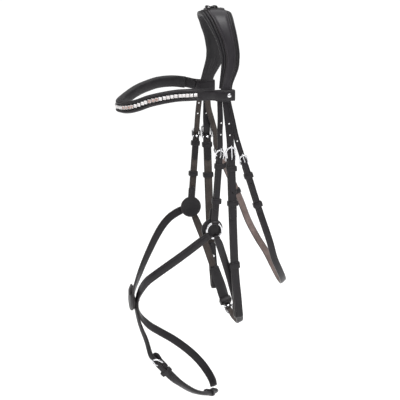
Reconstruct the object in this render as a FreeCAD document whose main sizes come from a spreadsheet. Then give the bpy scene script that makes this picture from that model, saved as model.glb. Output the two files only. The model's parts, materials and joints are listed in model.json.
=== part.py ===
import FreeCAD, Part
import math
import os
from FreeCAD import Vector

# Snaffle bridle with a crossed (figure-of-eight) noseband and a padded jaw strap.
# Frame: the horse faces -X, its near (left) side is -Y, +Z is up, and the origin
# is on top of the poll, in the middle of the crown strap.

doc = FreeCAD.newDocument("snaffle_bridle")

# ---- driving dimensions -------------------------------------------------------------

DIMENSIONS = {
    "side_plane": 58.5,        # |Y| of the inner face of the side straps
    "strap_thick": 3.0,        # doubled and stitched leather
    "billet_thick": 2.2,       # single leather with punched holes
    "crown_thick": 3.0,
    "crown_pad_thick": 6.0,
    "band_thick": 2.6,
    "band_width": 15.0,
    "band_pad_thick": 5.0,
    "band_pad_width": 17.0,
    "nose_thick": 4.0,
    "chin_thick": 5.0,
    "chin_width": 13.0,
    "jaw_pad_thick": 6.0,
    "jaw_pad_width": 15.0,
    "cheek_width": 12.0,
    "cheek_billet_width": 10.5,
    "hanger_width": 10.0,
    "small_billet_width": 8.0,
    "lash_width": 10.0,
    "bar_radius": 1.2,
    "bar_lift": 0.4,           # bar centre above the strap's inner face
    "wire_radius": 1.3,
    "arc_rise": 4.3,           # how far the buckle's arc stands above its bar
    "prong_radius": 0.9,
    "eye_radius": 2.9,
    "hole_radius": 2.2,
    "running_gap": 0.35,
    "keeper_wall": 1.3,
    "ring_radius": 11.0,
    "ring_wire": 1.5,
    "ring_lift": 2.6,          # ring plane above the straps' inner face
    "ring_eye_radius": 3.6,
    "pad_disc_radius": 15.5,
    "pad_disc_thick": 3.4,
    "nose_disc_radius": 17.0,
    "nose_disc_thick": 4.2,
    "stone_pitch": 5.5,
    "stone_size": 4.4,
    "stone_height": 2.0,
}

sheet = doc.addObject("Spreadsheet::Sheet", "dims")
for row, (alias, value) in enumerate(DIMENSIONS.items(), start=1):
    sheet.set("A%d" % row, alias)
    sheet.set("B%d" % row, str(value))
    sheet.setAlias("B%d" % row, alias)
doc.recompute()


def dim(alias):
    """A driving dimension, read back from the sheet."""
    return float(sheet.get(alias))


NEAR, FAR = -1, 1
SIDE_NAMES = {NEAR: "near", FAR: "far"}
subparts = []


def keep(node_object, name):
    """Name an object as a sub-part, which gets a file of its own."""
    node_object.Label = name
    subparts.append(node_object)
    return node_object


def shape_node(name, shape):
    """A sub-part whose shape is worked out by this script."""
    node_object = doc.addObject("Part::Feature", name)
    node_object.Shape = shape
    return keep(node_object, name)


# ---- local frames: x across the strap, y up along it, z outwards ---------------------


def unit(vector):
    return Vector(vector).normalize()


def make_frame(origin, up, outward):
    """Placement whose y axis is up and whose z axis is outward, made square to up."""
    y_axis = unit(up)
    z_axis = unit(outward - y_axis * outward.dot(y_axis))
    x_axis = y_axis.cross(z_axis)
    matrix = FreeCAD.Matrix(
        x_axis.x, y_axis.x, z_axis.x, origin.x,
        x_axis.y, y_axis.y, z_axis.y, origin.y,
        x_axis.z, y_axis.z, z_axis.z, origin.z,
        0, 0, 0, 1)
    return FreeCAD.Placement(matrix)


def side_frame(side, x, z, lean, inset=0.0):
    """Frame of a buckle bar on the side plane; lean is the strap's slope, X per Z down."""
    origin = Vector(x, side * (dim("side_plane") - inset), z)
    return make_frame(origin, Vector(-lean, 0, 1), Vector(0, side, 0))


def along(frame, y, z=0.0, x=0.0):
    """A point given in a local frame."""
    return frame.multVec(Vector(x, y, z))


def turned(frame, y, z, angle=0.0):
    """The frame moved along y and z, then tipped about its own x axis."""
    step = FreeCAD.Placement(Vector(0, y, z), FreeCAD.Rotation(Vector(1, 0, 0), angle))
    return frame.multiply(step)


# ---- leather strips -------------------------------------------------------------------


def curve_through(stations, parts):
    """Catmull-Rom points through the stations, each cut into a number of parts."""
    rows = [list(p) + list(n) + [w] for p, n, w in stations]
    padded = [rows[0]] + rows + [rows[-1]]
    result = []
    for i in range(1, len(padded) - 2):
        before, here, there, after = padded[i - 1:i + 3]
        for step in range(parts):
            t = step / parts
            values = []
            for a, b, c, d in zip(before, here, there, after):
                slope = (2 * a - 5 * b + 4 * c - d) * t * t + (3 * b - a - 3 * c + d) * t ** 3
                values.append(0.5 * (2 * b + (c - a) * t + slope))
            result.append(values)
    result.append(rows[-1])
    return [(Vector(*v[0:3]), Vector(*v[3:6]), v[6]) for v in result]


def strip(stations, thick, parts=1):
    """A leather strip of rectangular section; each station is (middle, outward, width)."""
    points = curve_through(stations, parts)
    wires = []
    for i, (middle, outward, width) in enumerate(points):
        before = points[max(i - 1, 0)][0]
        after = points[min(i + 1, len(points) - 1)][0]
        forward = unit(after - before)
        normal = unit(outward - forward * outward.dot(forward))
        across = forward.cross(normal) * (width / 2)
        rise = normal * (thick / 2)
        corners = [middle - across - rise, middle + across - rise,
                   middle + across + rise, middle - across + rise]
        wires.append(Part.makePolygon(corners + corners[:1]))
    solid = Part.makeLoft(wires, True, True)
    if solid.Volume < 0:
        solid.reverse()
    return solid


def rod(centre, axis, radius, length):
    """A cylinder centred on a point."""
    return Part.makeCylinder(radius, length, centre - axis * (length / 2), axis)


def local_box(frame, size, centre):
    """A box centred on a point of a local frame."""
    corner = Vector(centre) - Vector(size) * 0.5
    box = Part.makeBox(size.x, size.y, size.z, corner)
    box.Placement = frame
    return box


def x_axis_of(frame):
    return frame.Rotation.multVec(Vector(1, 0, 0))


EYE_SKIVE = 0.6                        # a fold is trimmed a little narrower than its strap


def with_buckle_eye(strap, frame, billet):
    """Add the fold round a buckle bar, its bore, and the crew slot for the prong."""
    lift = dim("bar_lift")
    width = dim(billet) + 1.0 - EYE_SKIVE
    centre = along(frame, 0, lift)
    across = x_axis_of(frame)
    for sign in (-1, 1):
        shoulder = Vector(sign * (width / 2 + 4), 3.3, lift)
        strap = strap.cut(local_box(frame, Vector(8, 11, 14), shoulder))
    eye = rod(centre, across, dim("eye_radius"), width - 0.1)
    bore = rod(centre, across, dim("bar_radius") + 0.15, width + 2)
    slot = local_box(frame, Vector(3.2, 9.0, 9.0), (0, -0.5, lift))
    return strap.fuse(eye).cut(bore).cut(slot).removeSplitter()


def ring_torus(centre, extra):
    """The ring's wire, grown by extra all round, for cutting its leather loops."""
    return Part.makeTorus(dim("ring_radius"), dim("ring_wire") + extra, centre, Vector(0, 1, 0))


def with_ring_eye(strap, ring_centre, angle, width):
    """Add the fold round a ring's wire at an angle from +X towards +Z."""
    radial = Vector(math.cos(angle), 0, math.sin(angle))
    tangent = Vector(-radial.z, 0, radial.x)
    centre = ring_centre + radial * (dim("ring_radius") - 0.6)
    eye = rod(centre, tangent, dim("ring_eye_radius"), width - EYE_SKIVE)
    clear = ring_torus(ring_centre, dim("running_gap"))
    core = rod(ring_centre, Vector(0, 1, 0), dim("ring_radius") - 4.4, 20)
    return strap.fuse(eye).cut(clear).cut(core).removeSplitter()


def punch(strap, frame, heights, lift):
    """Round holes on the middle line of a billet, at heights along a local frame."""
    outward = frame.Rotation.multVec(Vector(0, 0, 1))
    for height in heights:
        strap = strap.cut(rod(along(frame, height, lift), outward, dim("hole_radius"), 8))
    return strap


# ---- hardware, as parametric primitives ------------------------------------------------


def primitive(kind, name, placement, **expressions):
    """A Part primitive whose sizes are bound to the sheet."""
    item = doc.addObject("Part::" + kind, name)
    for prop, formula in expressions.items():
        item.setExpression(prop, formula)
    item.Placement = placement
    return item


def fused(name, shapes):
    joined = doc.addObject("Part::MultiFuse", name)
    joined.Shapes = shapes
    return joined


def cut(name, base, tool):
    result = doc.addObject("Part::Cut", name)
    result.Base = base
    result.Tool = tool
    return result


def shift(x, y, z, axis=Vector(0, 0, 1), angle=0.0):
    return FreeCAD.Placement(Vector(x, y, z), FreeCAD.Rotation(axis, angle))


X_AXIS = Vector(1, 0, 0)
Y_AXIS = Vector(0, 1, 0)


def half_width(billet):
    """Half the width of a buckle between the middles of its side wires."""
    return "dims.%s / 2 + 0.5 + dims.wire_radius" % billet


def make_buckle(name, frame, billet, height):
    """A D buckle: round bar, straight sides and half-round arc, tipped outwards."""
    half = dim(billet) / 2 + 0.5 + dim("wire_radius")
    straight = height - half
    pieces = [
        primitive("Cylinder", name + "_bar", shift(-half, 0, 0, Y_AXIS, 90),
                  Radius="dims.bar_radius", Height="2 * (%s)" % half_width(billet)),
        primitive("Torus", name + "_arc", shift(0, straight, 0),
                  Radius1=half_width(billet), Radius2="dims.wire_radius", Angle3="180"),
    ]
    for sign in (-1, 1):
        pieces.append(primitive("Sphere", name + "_corner", shift(sign * half, 0, 0),
                                Radius="dims.wire_radius"))
        pieces.append(primitive("Cylinder", name + "_side", shift(sign * half, 0, 0, X_AXIS, -90),
                                Radius="dims.wire_radius",
                                Height="%g - (%s)" % (height, half_width(billet))))
    buckle = fused(name, pieces)
    tip = math.degrees(math.asin(dim("arc_rise") / height))
    buckle.Placement = turned(frame, 0, dim("bar_lift"), tip)
    return buckle


def make_prong(name, frame, height):
    """A prong: an eye on the bar, a steep neck through the hole, and a tongue on the arc."""
    rest = dim("arc_rise") + dim("wire_radius") + dim("prong_radius") + 0.1
    path = [(0.7, 1.5), (2.2, 5.4), (4.8, rest + 0.8), (height + 1.8, rest - 0.1)]
    pieces = [primitive("Cylinder", name + "_eye", shift(-1, 0, 0, Y_AXIS, 90),
                        Radius="dims.bar_radius + 1.0", Height="2")]
    for (y0, z0), (y1, z1) in zip(path, path[1:]):
        length = math.hypot(y1 - y0, z1 - z0)
        slope = math.degrees(math.atan2(z1 - z0, y1 - y0))
        pieces.append(primitive("Cylinder", name + "_run", shift(0, y0, z0, X_AXIS, slope - 90),
                                Radius="dims.prong_radius", Height="%g" % length))
        pieces.append(primitive("Sphere", name + "_bend", shift(0, y1, z1),
                                Radius="dims.prong_radius + 0.06"))
    bore = primitive("Cylinder", name + "_bore", shift(-2, 0, 0, Y_AXIS, 90),
                     Radius="dims.bar_radius + 0.1", Height="4")
    prong = cut(name, fused(name + "_body", pieces), bore)
    prong.Placement = turned(frame, 0, dim("bar_lift"))
    return keep(prong, name)


def make_keeper(name, frame, y, width, thick, gap, height, low=0.0):
    """A leather loop round a strap and its billet; low is the strap's inner face."""
    grow = "2 * %g" % gap
    wall = "2 * dims.keeper_wall"
    size_x = "dims.%s + %s" % (width, grow)
    size_z = "%g + %s" % (thick, grow)
    half_x = dim(width) / 2 + gap
    edge = dim("keeper_wall")
    floor = low - gap
    outer = primitive("Box", name + "_outer", shift(-half_x - edge, -height / 2, floor - edge),
                      Length=size_x + " + " + wall, Width="%g" % height,
                      Height=size_z + " + " + wall)
    inner = primitive("Box", name + "_inner", shift(-half_x, -height / 2 - 1, floor),
                      Length=size_x, Width="%g" % (height + 2), Height=size_z)
    keeper = cut(name, outer, inner)
    keeper.Placement = turned(frame, y, 0)
    return keeper


# ---- one buckled joint of two straps ---------------------------------------------------

STRAP_MIDDLE = dim("strap_thick") / 2
BILLET_LOW = 1.1                       # billet's middle above the buckle
BILLET_HIGH = 4.75                     # billet's middle below it, on the strap
STACK = BILLET_HIGH + dim("billet_thick") / 2
HOLE_HEIGHT = 1.5                      # hole in use, above the bar


def billet_stations(frame, height, width, tip, top):
    """Middle line of a billet from above the buckle, over the bar, down to its tip."""
    outward = frame.Rotation.multVec(Vector(0, 0, 1))
    line = [(top, BILLET_LOW), (height - 3.5, BILLET_LOW + 0.2), (5.5, 3.8),
            (1.5, BILLET_HIGH - 0.15), (-4, BILLET_HIGH), (-tip + 5, BILLET_HIGH),
            (-tip, BILLET_HIGH)]
    widths = [width] * 6 + [width * 0.45]
    return [(along(frame, y, z), outward, w) for (y, z), w in zip(line, widths)]


def add_buckle_set(name, frame, billet, height, strap_width, fixed_at, sliding_at, low=0.0):
    """Prong and sliding keeper of one joint; returns its buckle and its fixed keeper."""
    stack = STACK - low
    buckle = make_buckle(name + "_buckle", frame, billet, height)
    make_prong(name + "_prong", frame, height)
    if sliding_at:
        sliding = name + "_sliding_keeper"
        keep(make_keeper(sliding, frame, -sliding_at, strap_width, stack,
                         dim("running_gap"), 7.0, low), sliding)
    fixed = make_keeper(name + "_fixed_keeper", frame, -fixed_at, strap_width, stack,
                        0.1, 7.0, low)
    return buckle, fixed


def keep_group(name, members):
    """Alike pieces of one body, kept as separate solids of one sub-part."""
    group = doc.addObject("Part::Compound", name)
    group.Links = members
    return keep(group, name)


# Positions on each side: bar (X, Z), slope, and distances below the bar.
NOSE_BUCKLE = {NEAR: (-12.2, -202.5, -0.0705), FAR: (-13.9, -191.5, -0.0734)}
CHEEK_BUCKLE = {NEAR: (4.8, -206.0, 0.0403), FAR: (2.8, -193.5, 0.036)}
LASH_BUCKLE = {NEAR: (25.6, -212.0, 0.325), FAR: (22.0, -219.6, 0.44)}
NOSE_HEIGHT, CHEEK_HEIGHT, LASH_HEIGHT = 12.5, 19.0, 12.5
NOSE_TOP = NOSE_HEIGHT + 6.0           # where a small billet starts to dip to its buckle
LASH_INSET = 3.6                       # the throatlash lies this far inside the cheekpieces
CHEEK_FLEX = CHEEK_HEIGHT + 10.0       # flex line of the cheek billet above the bar
LASH_FLEX = LASH_HEIGHT + 4.0
RING_CENTRE = {NEAR: (-19.3, -306.0), FAR: (-21.5, -298.5)}

nose_frames, cheek_frames, lash_frames, ring_centres = {}, {}, {}, {}
for side in (NEAR, FAR):
    nose_frames[side] = side_frame(side, *NOSE_BUCKLE[side])
    cheek_frames[side] = side_frame(side, *CHEEK_BUCKLE[side])
    lash_frames[side] = side_frame(side, *LASH_BUCKLE[side], inset=LASH_INSET)
    ring_x, ring_z = RING_CENTRE[side]
    ring_y = side * (dim("side_plane") + dim("ring_lift"))
    ring_centres[side] = Vector(ring_x, ring_y, ring_z)

# ---- headpiece ---------------------------------------------------------------------------

# Crown from the middle of the poll to the browband: |Y|, Z, front X, rear X, inset of
# the outer strap from the pad's edges.
CROWN = [
    (0, -1.5, -24, 17, 5), (10, -2, -24, 17.5, 5), (18, -4.5, -23.5, 18, 5),
    (25, -11, -20, 18.5, 4.5), (31, -22, -15.5, 19.5, 4.5), (36, -37, -9.5, 21.5, 4.5),
    (40.5, -56, -5, 23.3, 4.5), (43, -66, -4, 22.6, 4.2), (45, -77, -4.5, 20.5, 3.5),
    (49.5, -96, -8, 11.5, 1.2), (52, -107, -10, 8.8, 0), (53, -116, -12, 7.5, 0),
    (53, -124, -13.6, 6.3, 0),
]
CROWN_PAD_LAST = 10                    # the pad stops above the browband


def crown_normal(index):
    """Outward direction of the crown in the YZ plane, for the far half."""
    low = CROWN[max(index - 1, 0)]
    high = CROWN[min(index + 1, len(CROWN) - 1)]
    if index == 0:
        return Vector(0, 0, 1)
    return unit(Vector(0, low[1] - high[1], high[0] - low[0]))


def crown_stations(last, sink, inset_share):
    """Stations right over the poll, near side to far side."""
    half = []
    for i, (y, z, front, rear, inset) in enumerate(CROWN[:last]):
        normal = crown_normal(i)
        inset = inset * inset_share
        middle = Vector((front + rear) / 2, y, z) - normal * sink
        half.append((middle, normal, rear - front - 2 * inset))
    mirrored = [(Vector(p.x, -p.y, p.z), Vector(n.x, -n.y, n.z), w) for p, n, w in half[:0:-1]]
    return mirrored + half


crown = strip(crown_stations(len(CROWN), 0, 1), dim("crown_thick"), 2)
pad_sink = dim("crown_thick") / 2 + dim("crown_pad_thick") / 2 + 0.35
shape_node("headpiece_pad", strip(crown_stations(CROWN_PAD_LAST, pad_sink, 0),
                                  dim("crown_pad_thick"), 2))

# Billets between the browband and the buckles: X, Z, |Y|, width.
NOSE_BILLET_TOP = [(-9.9, -121, 53, 7.2), (-9.8, -146, 56.3, 8.0), (-11.2, -166, 59.2, 8.0)]
CHEEK_BILLET_TOP = [(-2.2, -121, 53, 7.6), (0.9, -148, 56.6, 9.8)]
LASH_BILLET_TOP = {
    NEAR: [(3.8, -121, 52.6, 4.6), (8.6, -150, 54.4, 7.4), (13.6, -174, 55.4, 8.0)],
    FAR: [(1.8, -121, 52.6, 8.4), (2.4, -146, 53.8, 9.2), (7.3, -164, 54.6, 8.8),
          (11.4, -177, 55.4, 8.4), (14.5, -189, 56.0, 7.6)],
}
for side in (NEAR, FAR):
    outward = Vector(0, side, 0)
    far_rise = 0 if side == NEAR else 11.0

    def top_stations(rows, rise=0.0):
        """Stations of a billet's upper part; rise lifts all but the first."""
        return [(Vector(x, side * y, z + (rise if i else 0)), outward, w)
                for i, (x, z, y, w) in enumerate(rows)]

    nose_tip = 74.0
    nose_line = (top_stations(NOSE_BILLET_TOP, far_rise)
                 + billet_stations(nose_frames[side], NOSE_HEIGHT, 8.0, nose_tip, NOSE_TOP))
    billet = strip(nose_line, dim("billet_thick"), 1)
    crown = crown.fuse(punch(billet, nose_frames[side],
                             [HOLE_HEIGHT, HOLE_HEIGHT + 32, HOLE_HEIGHT + 48], 2))

    above = along(cheek_frames[side], CHEEK_FLEX + 1.9, BILLET_LOW)
    cheek_line = top_stations(CHEEK_BILLET_TOP, far_rise) + [(above, outward, 10.5)]
    crown = crown.fuse(strip(cheek_line, dim("billet_thick")))

    lash_pivot = along(lash_frames[side], LASH_FLEX, BILLET_LOW)
    lash_above = along(lash_frames[side], LASH_FLEX + 2.6, BILLET_LOW)
    lash_line = top_stations(LASH_BILLET_TOP[side]) + [(lash_above, outward, 8.0)]
    knuckle = rod(lash_pivot, Vector(0, 1, 0), 4.0 + 0.35, 8)
    crown = crown.fuse(strip(lash_line, dim("billet_thick")).cut(knuckle))
shape_node("headpiece_strap", crown)

# Leather keeper on top of the poll.
poll_frame = make_frame(Vector(-7.5, 0, 0), Vector(0, 1, 0), Vector(0, 0, 1))
keeper_outer = primitive("Box", "poll_keeper_outer", shift(-7.5, -6, 0.02),
                         Length="15", Width="12", Height="1.6 + 2 * dims.keeper_wall")
keeper_inner = primitive("Box", "poll_keeper_inner", shift(-5.5, -7, 1.3),
                         Length="11", Width="14", Height="1.8")
poll_keeper = cut("poll_keeper", keeper_outer, keeper_inner)
poll_keeper.Placement = poll_frame
keep(poll_keeper, "poll_keeper")

# ---- browband ----------------------------------------------------------------------------

# Half of the band's outer face, from the loop round the forehead: X, |Y|, Z.
BAND = [
    (-17.3, 57.5, -113.5), (-28, 67, -111.5), (-44, 72, -110), (-60, 72, -110), (-75, 67.5, -111),
    (-88, 61.5, -113.5), (-100, 55.5, -116.5), (-112, 48, -120.5), (-124, 40, -126),
    (-134, 30, -130), (-141, 17, -132), (-144.5, 0, -132.5),
]


def band_stations(outset, width):
    """Stations of the band from the near loop round the front to the far loop."""
    half = []
    for i, (x, y, z) in enumerate(BAND):
        before = BAND[max(i - 1, 0)]
        after = BAND[i + 1] if i + 1 < len(BAND) else (x, -BAND[i - 1][1], 0)
        normal = unit(Vector(before[1] - after[1], before[0] - after[0], 0)) * -1
        if i + 1 == len(BAND):
            normal = Vector(-1, 0, 0)
        if normal.y < 0:
            normal = Vector(normal.x, -normal.y, 0)
        half.append((Vector(x, y, z) + normal * outset, normal, width))
    mirrored = [(Vector(p.x, -p.y, p.z), Vector(n.x, -n.y, n.z), w) for p, n, w in half]
    return mirrored + half[-2::-1]


band_sink = dim("band_thick") + dim("band_pad_thick") / 2 + 0.02
band_line = band_stations(-dim("band_thick") / 2, dim("band_width"))
shape_node("browband", strip(band_line, dim("band_thick"), 2))
shape_node("browband_pad", strip(band_stations(-band_sink, dim("band_pad_width"))[1:-1],
                                 dim("band_pad_thick"), 2))

# A row of square stones in metal settings, close together along the band.
stone_line = curve_through(band_stations(dim("stone_height") / 2 + 0.4, 1)[2:-2], 16)
settings, stones = [], []
travelled = 0.0
for (start, _, _), (end, outward, _) in zip(stone_line, stone_line[1:]):
    travelled += (end - start).Length
    if travelled < dim("stone_pitch"):
        continue
    travelled -= dim("stone_pitch")
    seat = make_frame(end, Vector(0, 0, 1), outward)
    size, high = dim("stone_size"), dim("stone_height")
    setting = local_box(seat, Vector(size, size, high), (0, 0, 0))
    pocket = local_box(seat, Vector(size - 1.0, size - 1.0, high), (0, 0, high / 2))
    stone = local_box(seat, Vector(size - 1.1, size - 1.1, high * 0.8), (0, 0, high * 0.45))
    settings.append(setting.cut(pocket))
    stones.append(stone)
shape_node("clincher_settings", Part.makeCompound(settings))
shape_node("clincher_stones", Part.makeCompound(stones))

# Flat loops at both ends, round the headpiece, with room to slide up it.
LOOP_MIDDLE = (-2.1, 52.4, -115.0)     # X, |Y|, Z
LOOP_ROOM = (24.6, 6.2)                # inside, along X and along Y
LOOP_WALL = 1.8
band_loops = []
for side in (NEAR, FAR):
    label = SIDE_NAMES[side] + "_browband_loop"
    loop_x, loop_y, loop_z = LOOP_MIDDLE
    loop_frame = make_frame(Vector(loop_x, side * loop_y, loop_z), Vector(0, 0, 1),
                            Vector(0, side, 0))
    room_x, room_y = LOOP_ROOM
    outer = primitive("Box", label + "_outer",
                      shift(-room_x / 2 - LOOP_WALL, -dim("band_width") / 2,
                            -room_y / 2 - LOOP_WALL),
                      Length="%g" % (room_x + 2 * LOOP_WALL), Width="dims.band_width",
                      Height="%g" % (room_y + 2 * LOOP_WALL))
    inner = primitive("Box", label + "_inner",
                      shift(-room_x / 2, -dim("band_width") / 2 - 1, -room_y / 2),
                      Length="%g" % room_x, Width="dims.band_width + 2",
                      Height="%g" % room_y)
    loop = cut(label, outer, inner)
    loop.Placement = loop_frame
    band_loops.append(loop)
keep_group("browband_loops", band_loops)

# ---- noseband hangers, rings and ring pads -------------------------------------------------

hanger_keepers, ring_pads = [], []
for side in (NEAR, FAR):
    name = SIDE_NAMES[side]
    frame = nose_frames[side]
    ring_centre = ring_centres[side]
    outward = Vector(0, side, 0)
    top_of_ring = ring_centre + Vector(0.9, 0, dim("ring_radius") - 0.6)
    lower = Vector(top_of_ring.x + 0.2, side * (dim("side_plane") + STRAP_MIDDLE), top_of_ring.z + 8)
    hanger = strip([(along(frame, 0, STRAP_MIDDLE), outward, dim("hanger_width")),
                    (lower, outward, dim("hanger_width")),
                    (top_of_ring - outward * 1.1, outward, dim("hanger_width"))],
                   dim("strap_thick"))
    hanger = with_buckle_eye(hanger, frame, "small_billet_width")
    hanger = with_ring_eye(hanger, ring_centre, math.radians(86), dim("hanger_width"))
    shape_node(name + "_noseband_hanger", hanger)
    buckle, fixed = add_buckle_set(name + "_noseband", frame, "small_billet_width",
                                   NOSE_HEIGHT, "hanger_width", 11.0,
                                   61.0 if side == NEAR else 57.0)
    keep(buckle, name + "_noseband_buckle")
    hanger_keepers.append(fixed)

    ring = primitive("Torus", name + "_ring",
                     FreeCAD.Placement(ring_centre, FreeCAD.Rotation(X_AXIS, 90)),
                     Radius1="dims.ring_radius", Radius2="dims.ring_wire")
    keep(ring, name + "_ring")

    pad_y = side * (dim("side_plane") - 1.3 - dim("pad_disc_thick"))
    pad_origin = Vector(ring_centre.x - 1.8, pad_y, ring_centre.z + 0.8)
    pad_frame = make_frame(pad_origin, Vector(0.06, 0, 1), outward)
    disc = primitive("Cylinder", name + "_ring_pad_disc", shift(0, 0, 0),
                     Radius="dims.pad_disc_radius", Height="dims.pad_disc_thick")
    tongue = primitive("Box", name + "_ring_pad_tongue", shift(-5, 0, 0),
                       Length="10", Width="dims.pad_disc_radius + 16", Height="dims.pad_disc_thick")
    pad = fused(name + "_ring_pad", [disc, tongue])
    pad.Placement = pad_frame
    ring_pads.append(pad)
keep_group("ring_pads", ring_pads)
keep_group("noseband_fixed_keepers", hanger_keepers)

# ---- cheekpieces ----------------------------------------------------------------------------

# Distances below the bar along the strap, and the lower end: X, Z of the fold.
CHEEK_FOLD = {NEAR: (18.2, -434.0), FAR: (14.5, -421.5)}
CHEEK_BEND = {NEAR: (10.6, -350.0), FAR: (8.0, -338.0)}
FOLD_GAP = 4.6                         # room for the bit's ring between the two layers
INNER_MIDDLE = STRAP_MIDDLE - dim("strap_thick") - FOLD_GAP
for side in (NEAR, FAR):
    name = SIDE_NAMES[side]
    frame = cheek_frames[side]
    outward = Vector(0, side, 0)
    plane = dim("side_plane")
    width = dim("cheek_width")
    bend_x, bend_z = CHEEK_BEND[side]
    fold_x, fold_z = CHEEK_FOLD[side]
    along_end = unit(Vector(fold_x - bend_x, 0, fold_z - bend_z))

    def lower_point(drop, lift):
        """A point on the lower end, a distance above the fold."""
        base = Vector(fold_x, side * (plane + lift), fold_z)
        return base - along_end * drop

    outer_layer = strip([(along(frame, 0, STRAP_MIDDLE), outward, width),
                         (Vector(bend_x, side * (plane + STRAP_MIDDLE), bend_z), outward, width),
                         (lower_point(0, STRAP_MIDDLE), outward, width)], dim("strap_thick"))
    middle = (STRAP_MIDDLE + INNER_MIDDLE) / 2
    turn_outer = (STRAP_MIDDLE - INNER_MIDDLE) / 2 + dim("strap_thick") / 2
    turn_inner = turn_outer - dim("strap_thick")
    across = unit(along_end.cross(outward))
    centre = lower_point(0, middle)
    turn = rod(centre, across, turn_outer, width).cut(rod(centre, across, turn_inner, width + 2))
    turn = turn.cut(local_box(make_frame(centre, along_end * -1, outward),
                              Vector(width + 4, 40, 40), (0, 20, 0)))
    inner_layer = strip([(lower_point(0, INNER_MIDDLE), outward, width),
                         (lower_point(20, INNER_MIDDLE), outward, width),
                         (lower_point(34, STRAP_MIDDLE - dim("strap_thick") - 0.1), outward, width),
                         (lower_point(62, STRAP_MIDDLE - dim("strap_thick") - 0.1), outward, width),
                         (lower_point(67, STRAP_MIDDLE - dim("strap_thick") - 0.1), outward, 5.0)],
                        dim("strap_thick"))
    stud_at = 46.0
    stud_hole = rod(lower_point(stud_at, 0), outward, 1.6, 14)
    cheek = outer_layer.fuse(turn).fuse(inner_layer.cut(stud_hole))
    shape_node(name + "_cheekpiece", with_buckle_eye(cheek, frame, "cheek_billet_width"))

    lower_billet = strip(billet_stations(frame, CHEEK_HEIGHT, 10.5,
                                         85.0 if side == NEAR else 84.0, CHEEK_FLEX),
                         dim("billet_thick"))
    roll = rod(along(frame, CHEEK_FLEX, BILLET_LOW), x_axis_of(frame),
               dim("billet_thick") / 2, 10.5)
    lower_billet = punch(lower_billet.fuse(roll), frame, [HOLE_HEIGHT, HOLE_HEIGHT - 48], 4)
    shape_node(name + "_cheek_billet", lower_billet)
    buckle, fixed = add_buckle_set(name + "_cheek", frame, "cheek_billet_width", CHEEK_HEIGHT,
                                   "cheek_width", 12.0, 62.0 if side == NEAR else 58.0)
    keep(buckle, name + "_cheek_buckle")
    keep(fixed, name + "_cheek_fixed_keeper")

    stud_frame = make_frame(lower_point(stud_at, -dim("strap_thick") - 0.1), along_end * -1, outward * -1)
    post = primitive("Cylinder", name + "_stud_post", shift(0, 0, -2.9), Radius="1.3", Height="4.4")
    head = primitive("Cylinder", name + "_stud_head", shift(0, 0, 0.3), Radius="2.6", Height="1.4")
    stud = fused(name + "_hook_stud", [post, head])
    stud.Placement = stud_frame
    keep(stud, name + "_hook_stud")
    bit_frame = make_frame(lower_point(67 + 8, 0), along_end * -1, outward)
    # The doubled end stops below this keeper, so it holds one layer and the stub's tip.
    keep(make_keeper(name + "_bit_keeper", bit_frame, 0, "cheek_width", dim("strap_thick"),
                     0.05, 9.0), name + "_bit_keeper")

# ---- throatlash ------------------------------------------------------------------------------

# From the near bar round under the throat to the far bar: X, Y, Z and outward direction.
LASH = [
    (48.0, -60, -281, 0, -1, 0), (63.0, -59.5, -326, 0, -1, 0), (72.5, -55, -355, 0.12, -1, -0.1),
    (85.0, -43, -378, 0.35, -0.85, -0.45), (96.0, -25, -396, 0.55, -0.5, -0.7),
    (101.5, -5, -405, 0.65, 0, -0.8), (102.5, 15, -403, 0.6, 0.45, -0.7),
    (100.0, 34, -392, 0.4, 0.8, -0.5), (93.0, 49, -373, 0.15, 0.97, -0.2),
    (82.0, 58, -353, 0.02, 1, 0), (68.0, 60, -326, 0, 1, 0), (49.5, 60, -284, 0, 1, 0),
]
lash_width = dim("lash_width")
near_top = (along(lash_frames[NEAR], 0, STRAP_MIDDLE), Vector(0, -1, 0), lash_width)
far_top = (along(lash_frames[FAR], 0, STRAP_MIDDLE), Vector(0, 1, 0), lash_width)
near_straight = (along(lash_frames[NEAR], -72, STRAP_MIDDLE), Vector(0, -1, 0), lash_width)
far_straight = (along(lash_frames[FAR], -78, STRAP_MIDDLE), Vector(0, 1, 0), lash_width)
lash_curve = [(Vector(*row[0:3]), Vector(*row[3:6]), lash_width) for row in LASH[1:-1]]
lash_round = curve_through([near_straight] + lash_curve + [far_straight], 2)
throatlash = strip([near_top] + lash_round + [far_top], dim("strap_thick"))
for side in (NEAR, FAR):
    throatlash = with_buckle_eye(throatlash, lash_frames[side], "small_billet_width")
shape_node("throatlash", throatlash)
lash_keepers, lash_buckles, lash_billets = [], [], []
for side in (NEAR, FAR):
    name = SIDE_NAMES[side]
    frame = lash_frames[side]
    billet = strip(billet_stations(frame, LASH_HEIGHT, 8.0, 76.0, LASH_FLEX), dim("billet_thick"))
    pivot = along(frame, LASH_FLEX, BILLET_LOW)
    billet = billet.fuse(rod(pivot, Vector(0, 1, 0), 4.0, dim("billet_thick")))
    lash_billets.append(punch(billet, frame, [HOLE_HEIGHT, HOLE_HEIGHT - 32], 4))
    buckle, fixed = add_buckle_set(name + "_throat", frame, "small_billet_width",
                                   LASH_HEIGHT, "lash_width", 19.0, 64.0)
    lash_buckles.append(buckle)
    lash_keepers.append(fixed)
shape_node("throat_billets", Part.makeCompound(lash_billets))
keep_group("throat_buckles", lash_buckles)
keep_group("throat_fixed_keepers", lash_keepers)

# ---- crossed nose straps ------------------------------------------------------------------------

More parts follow.
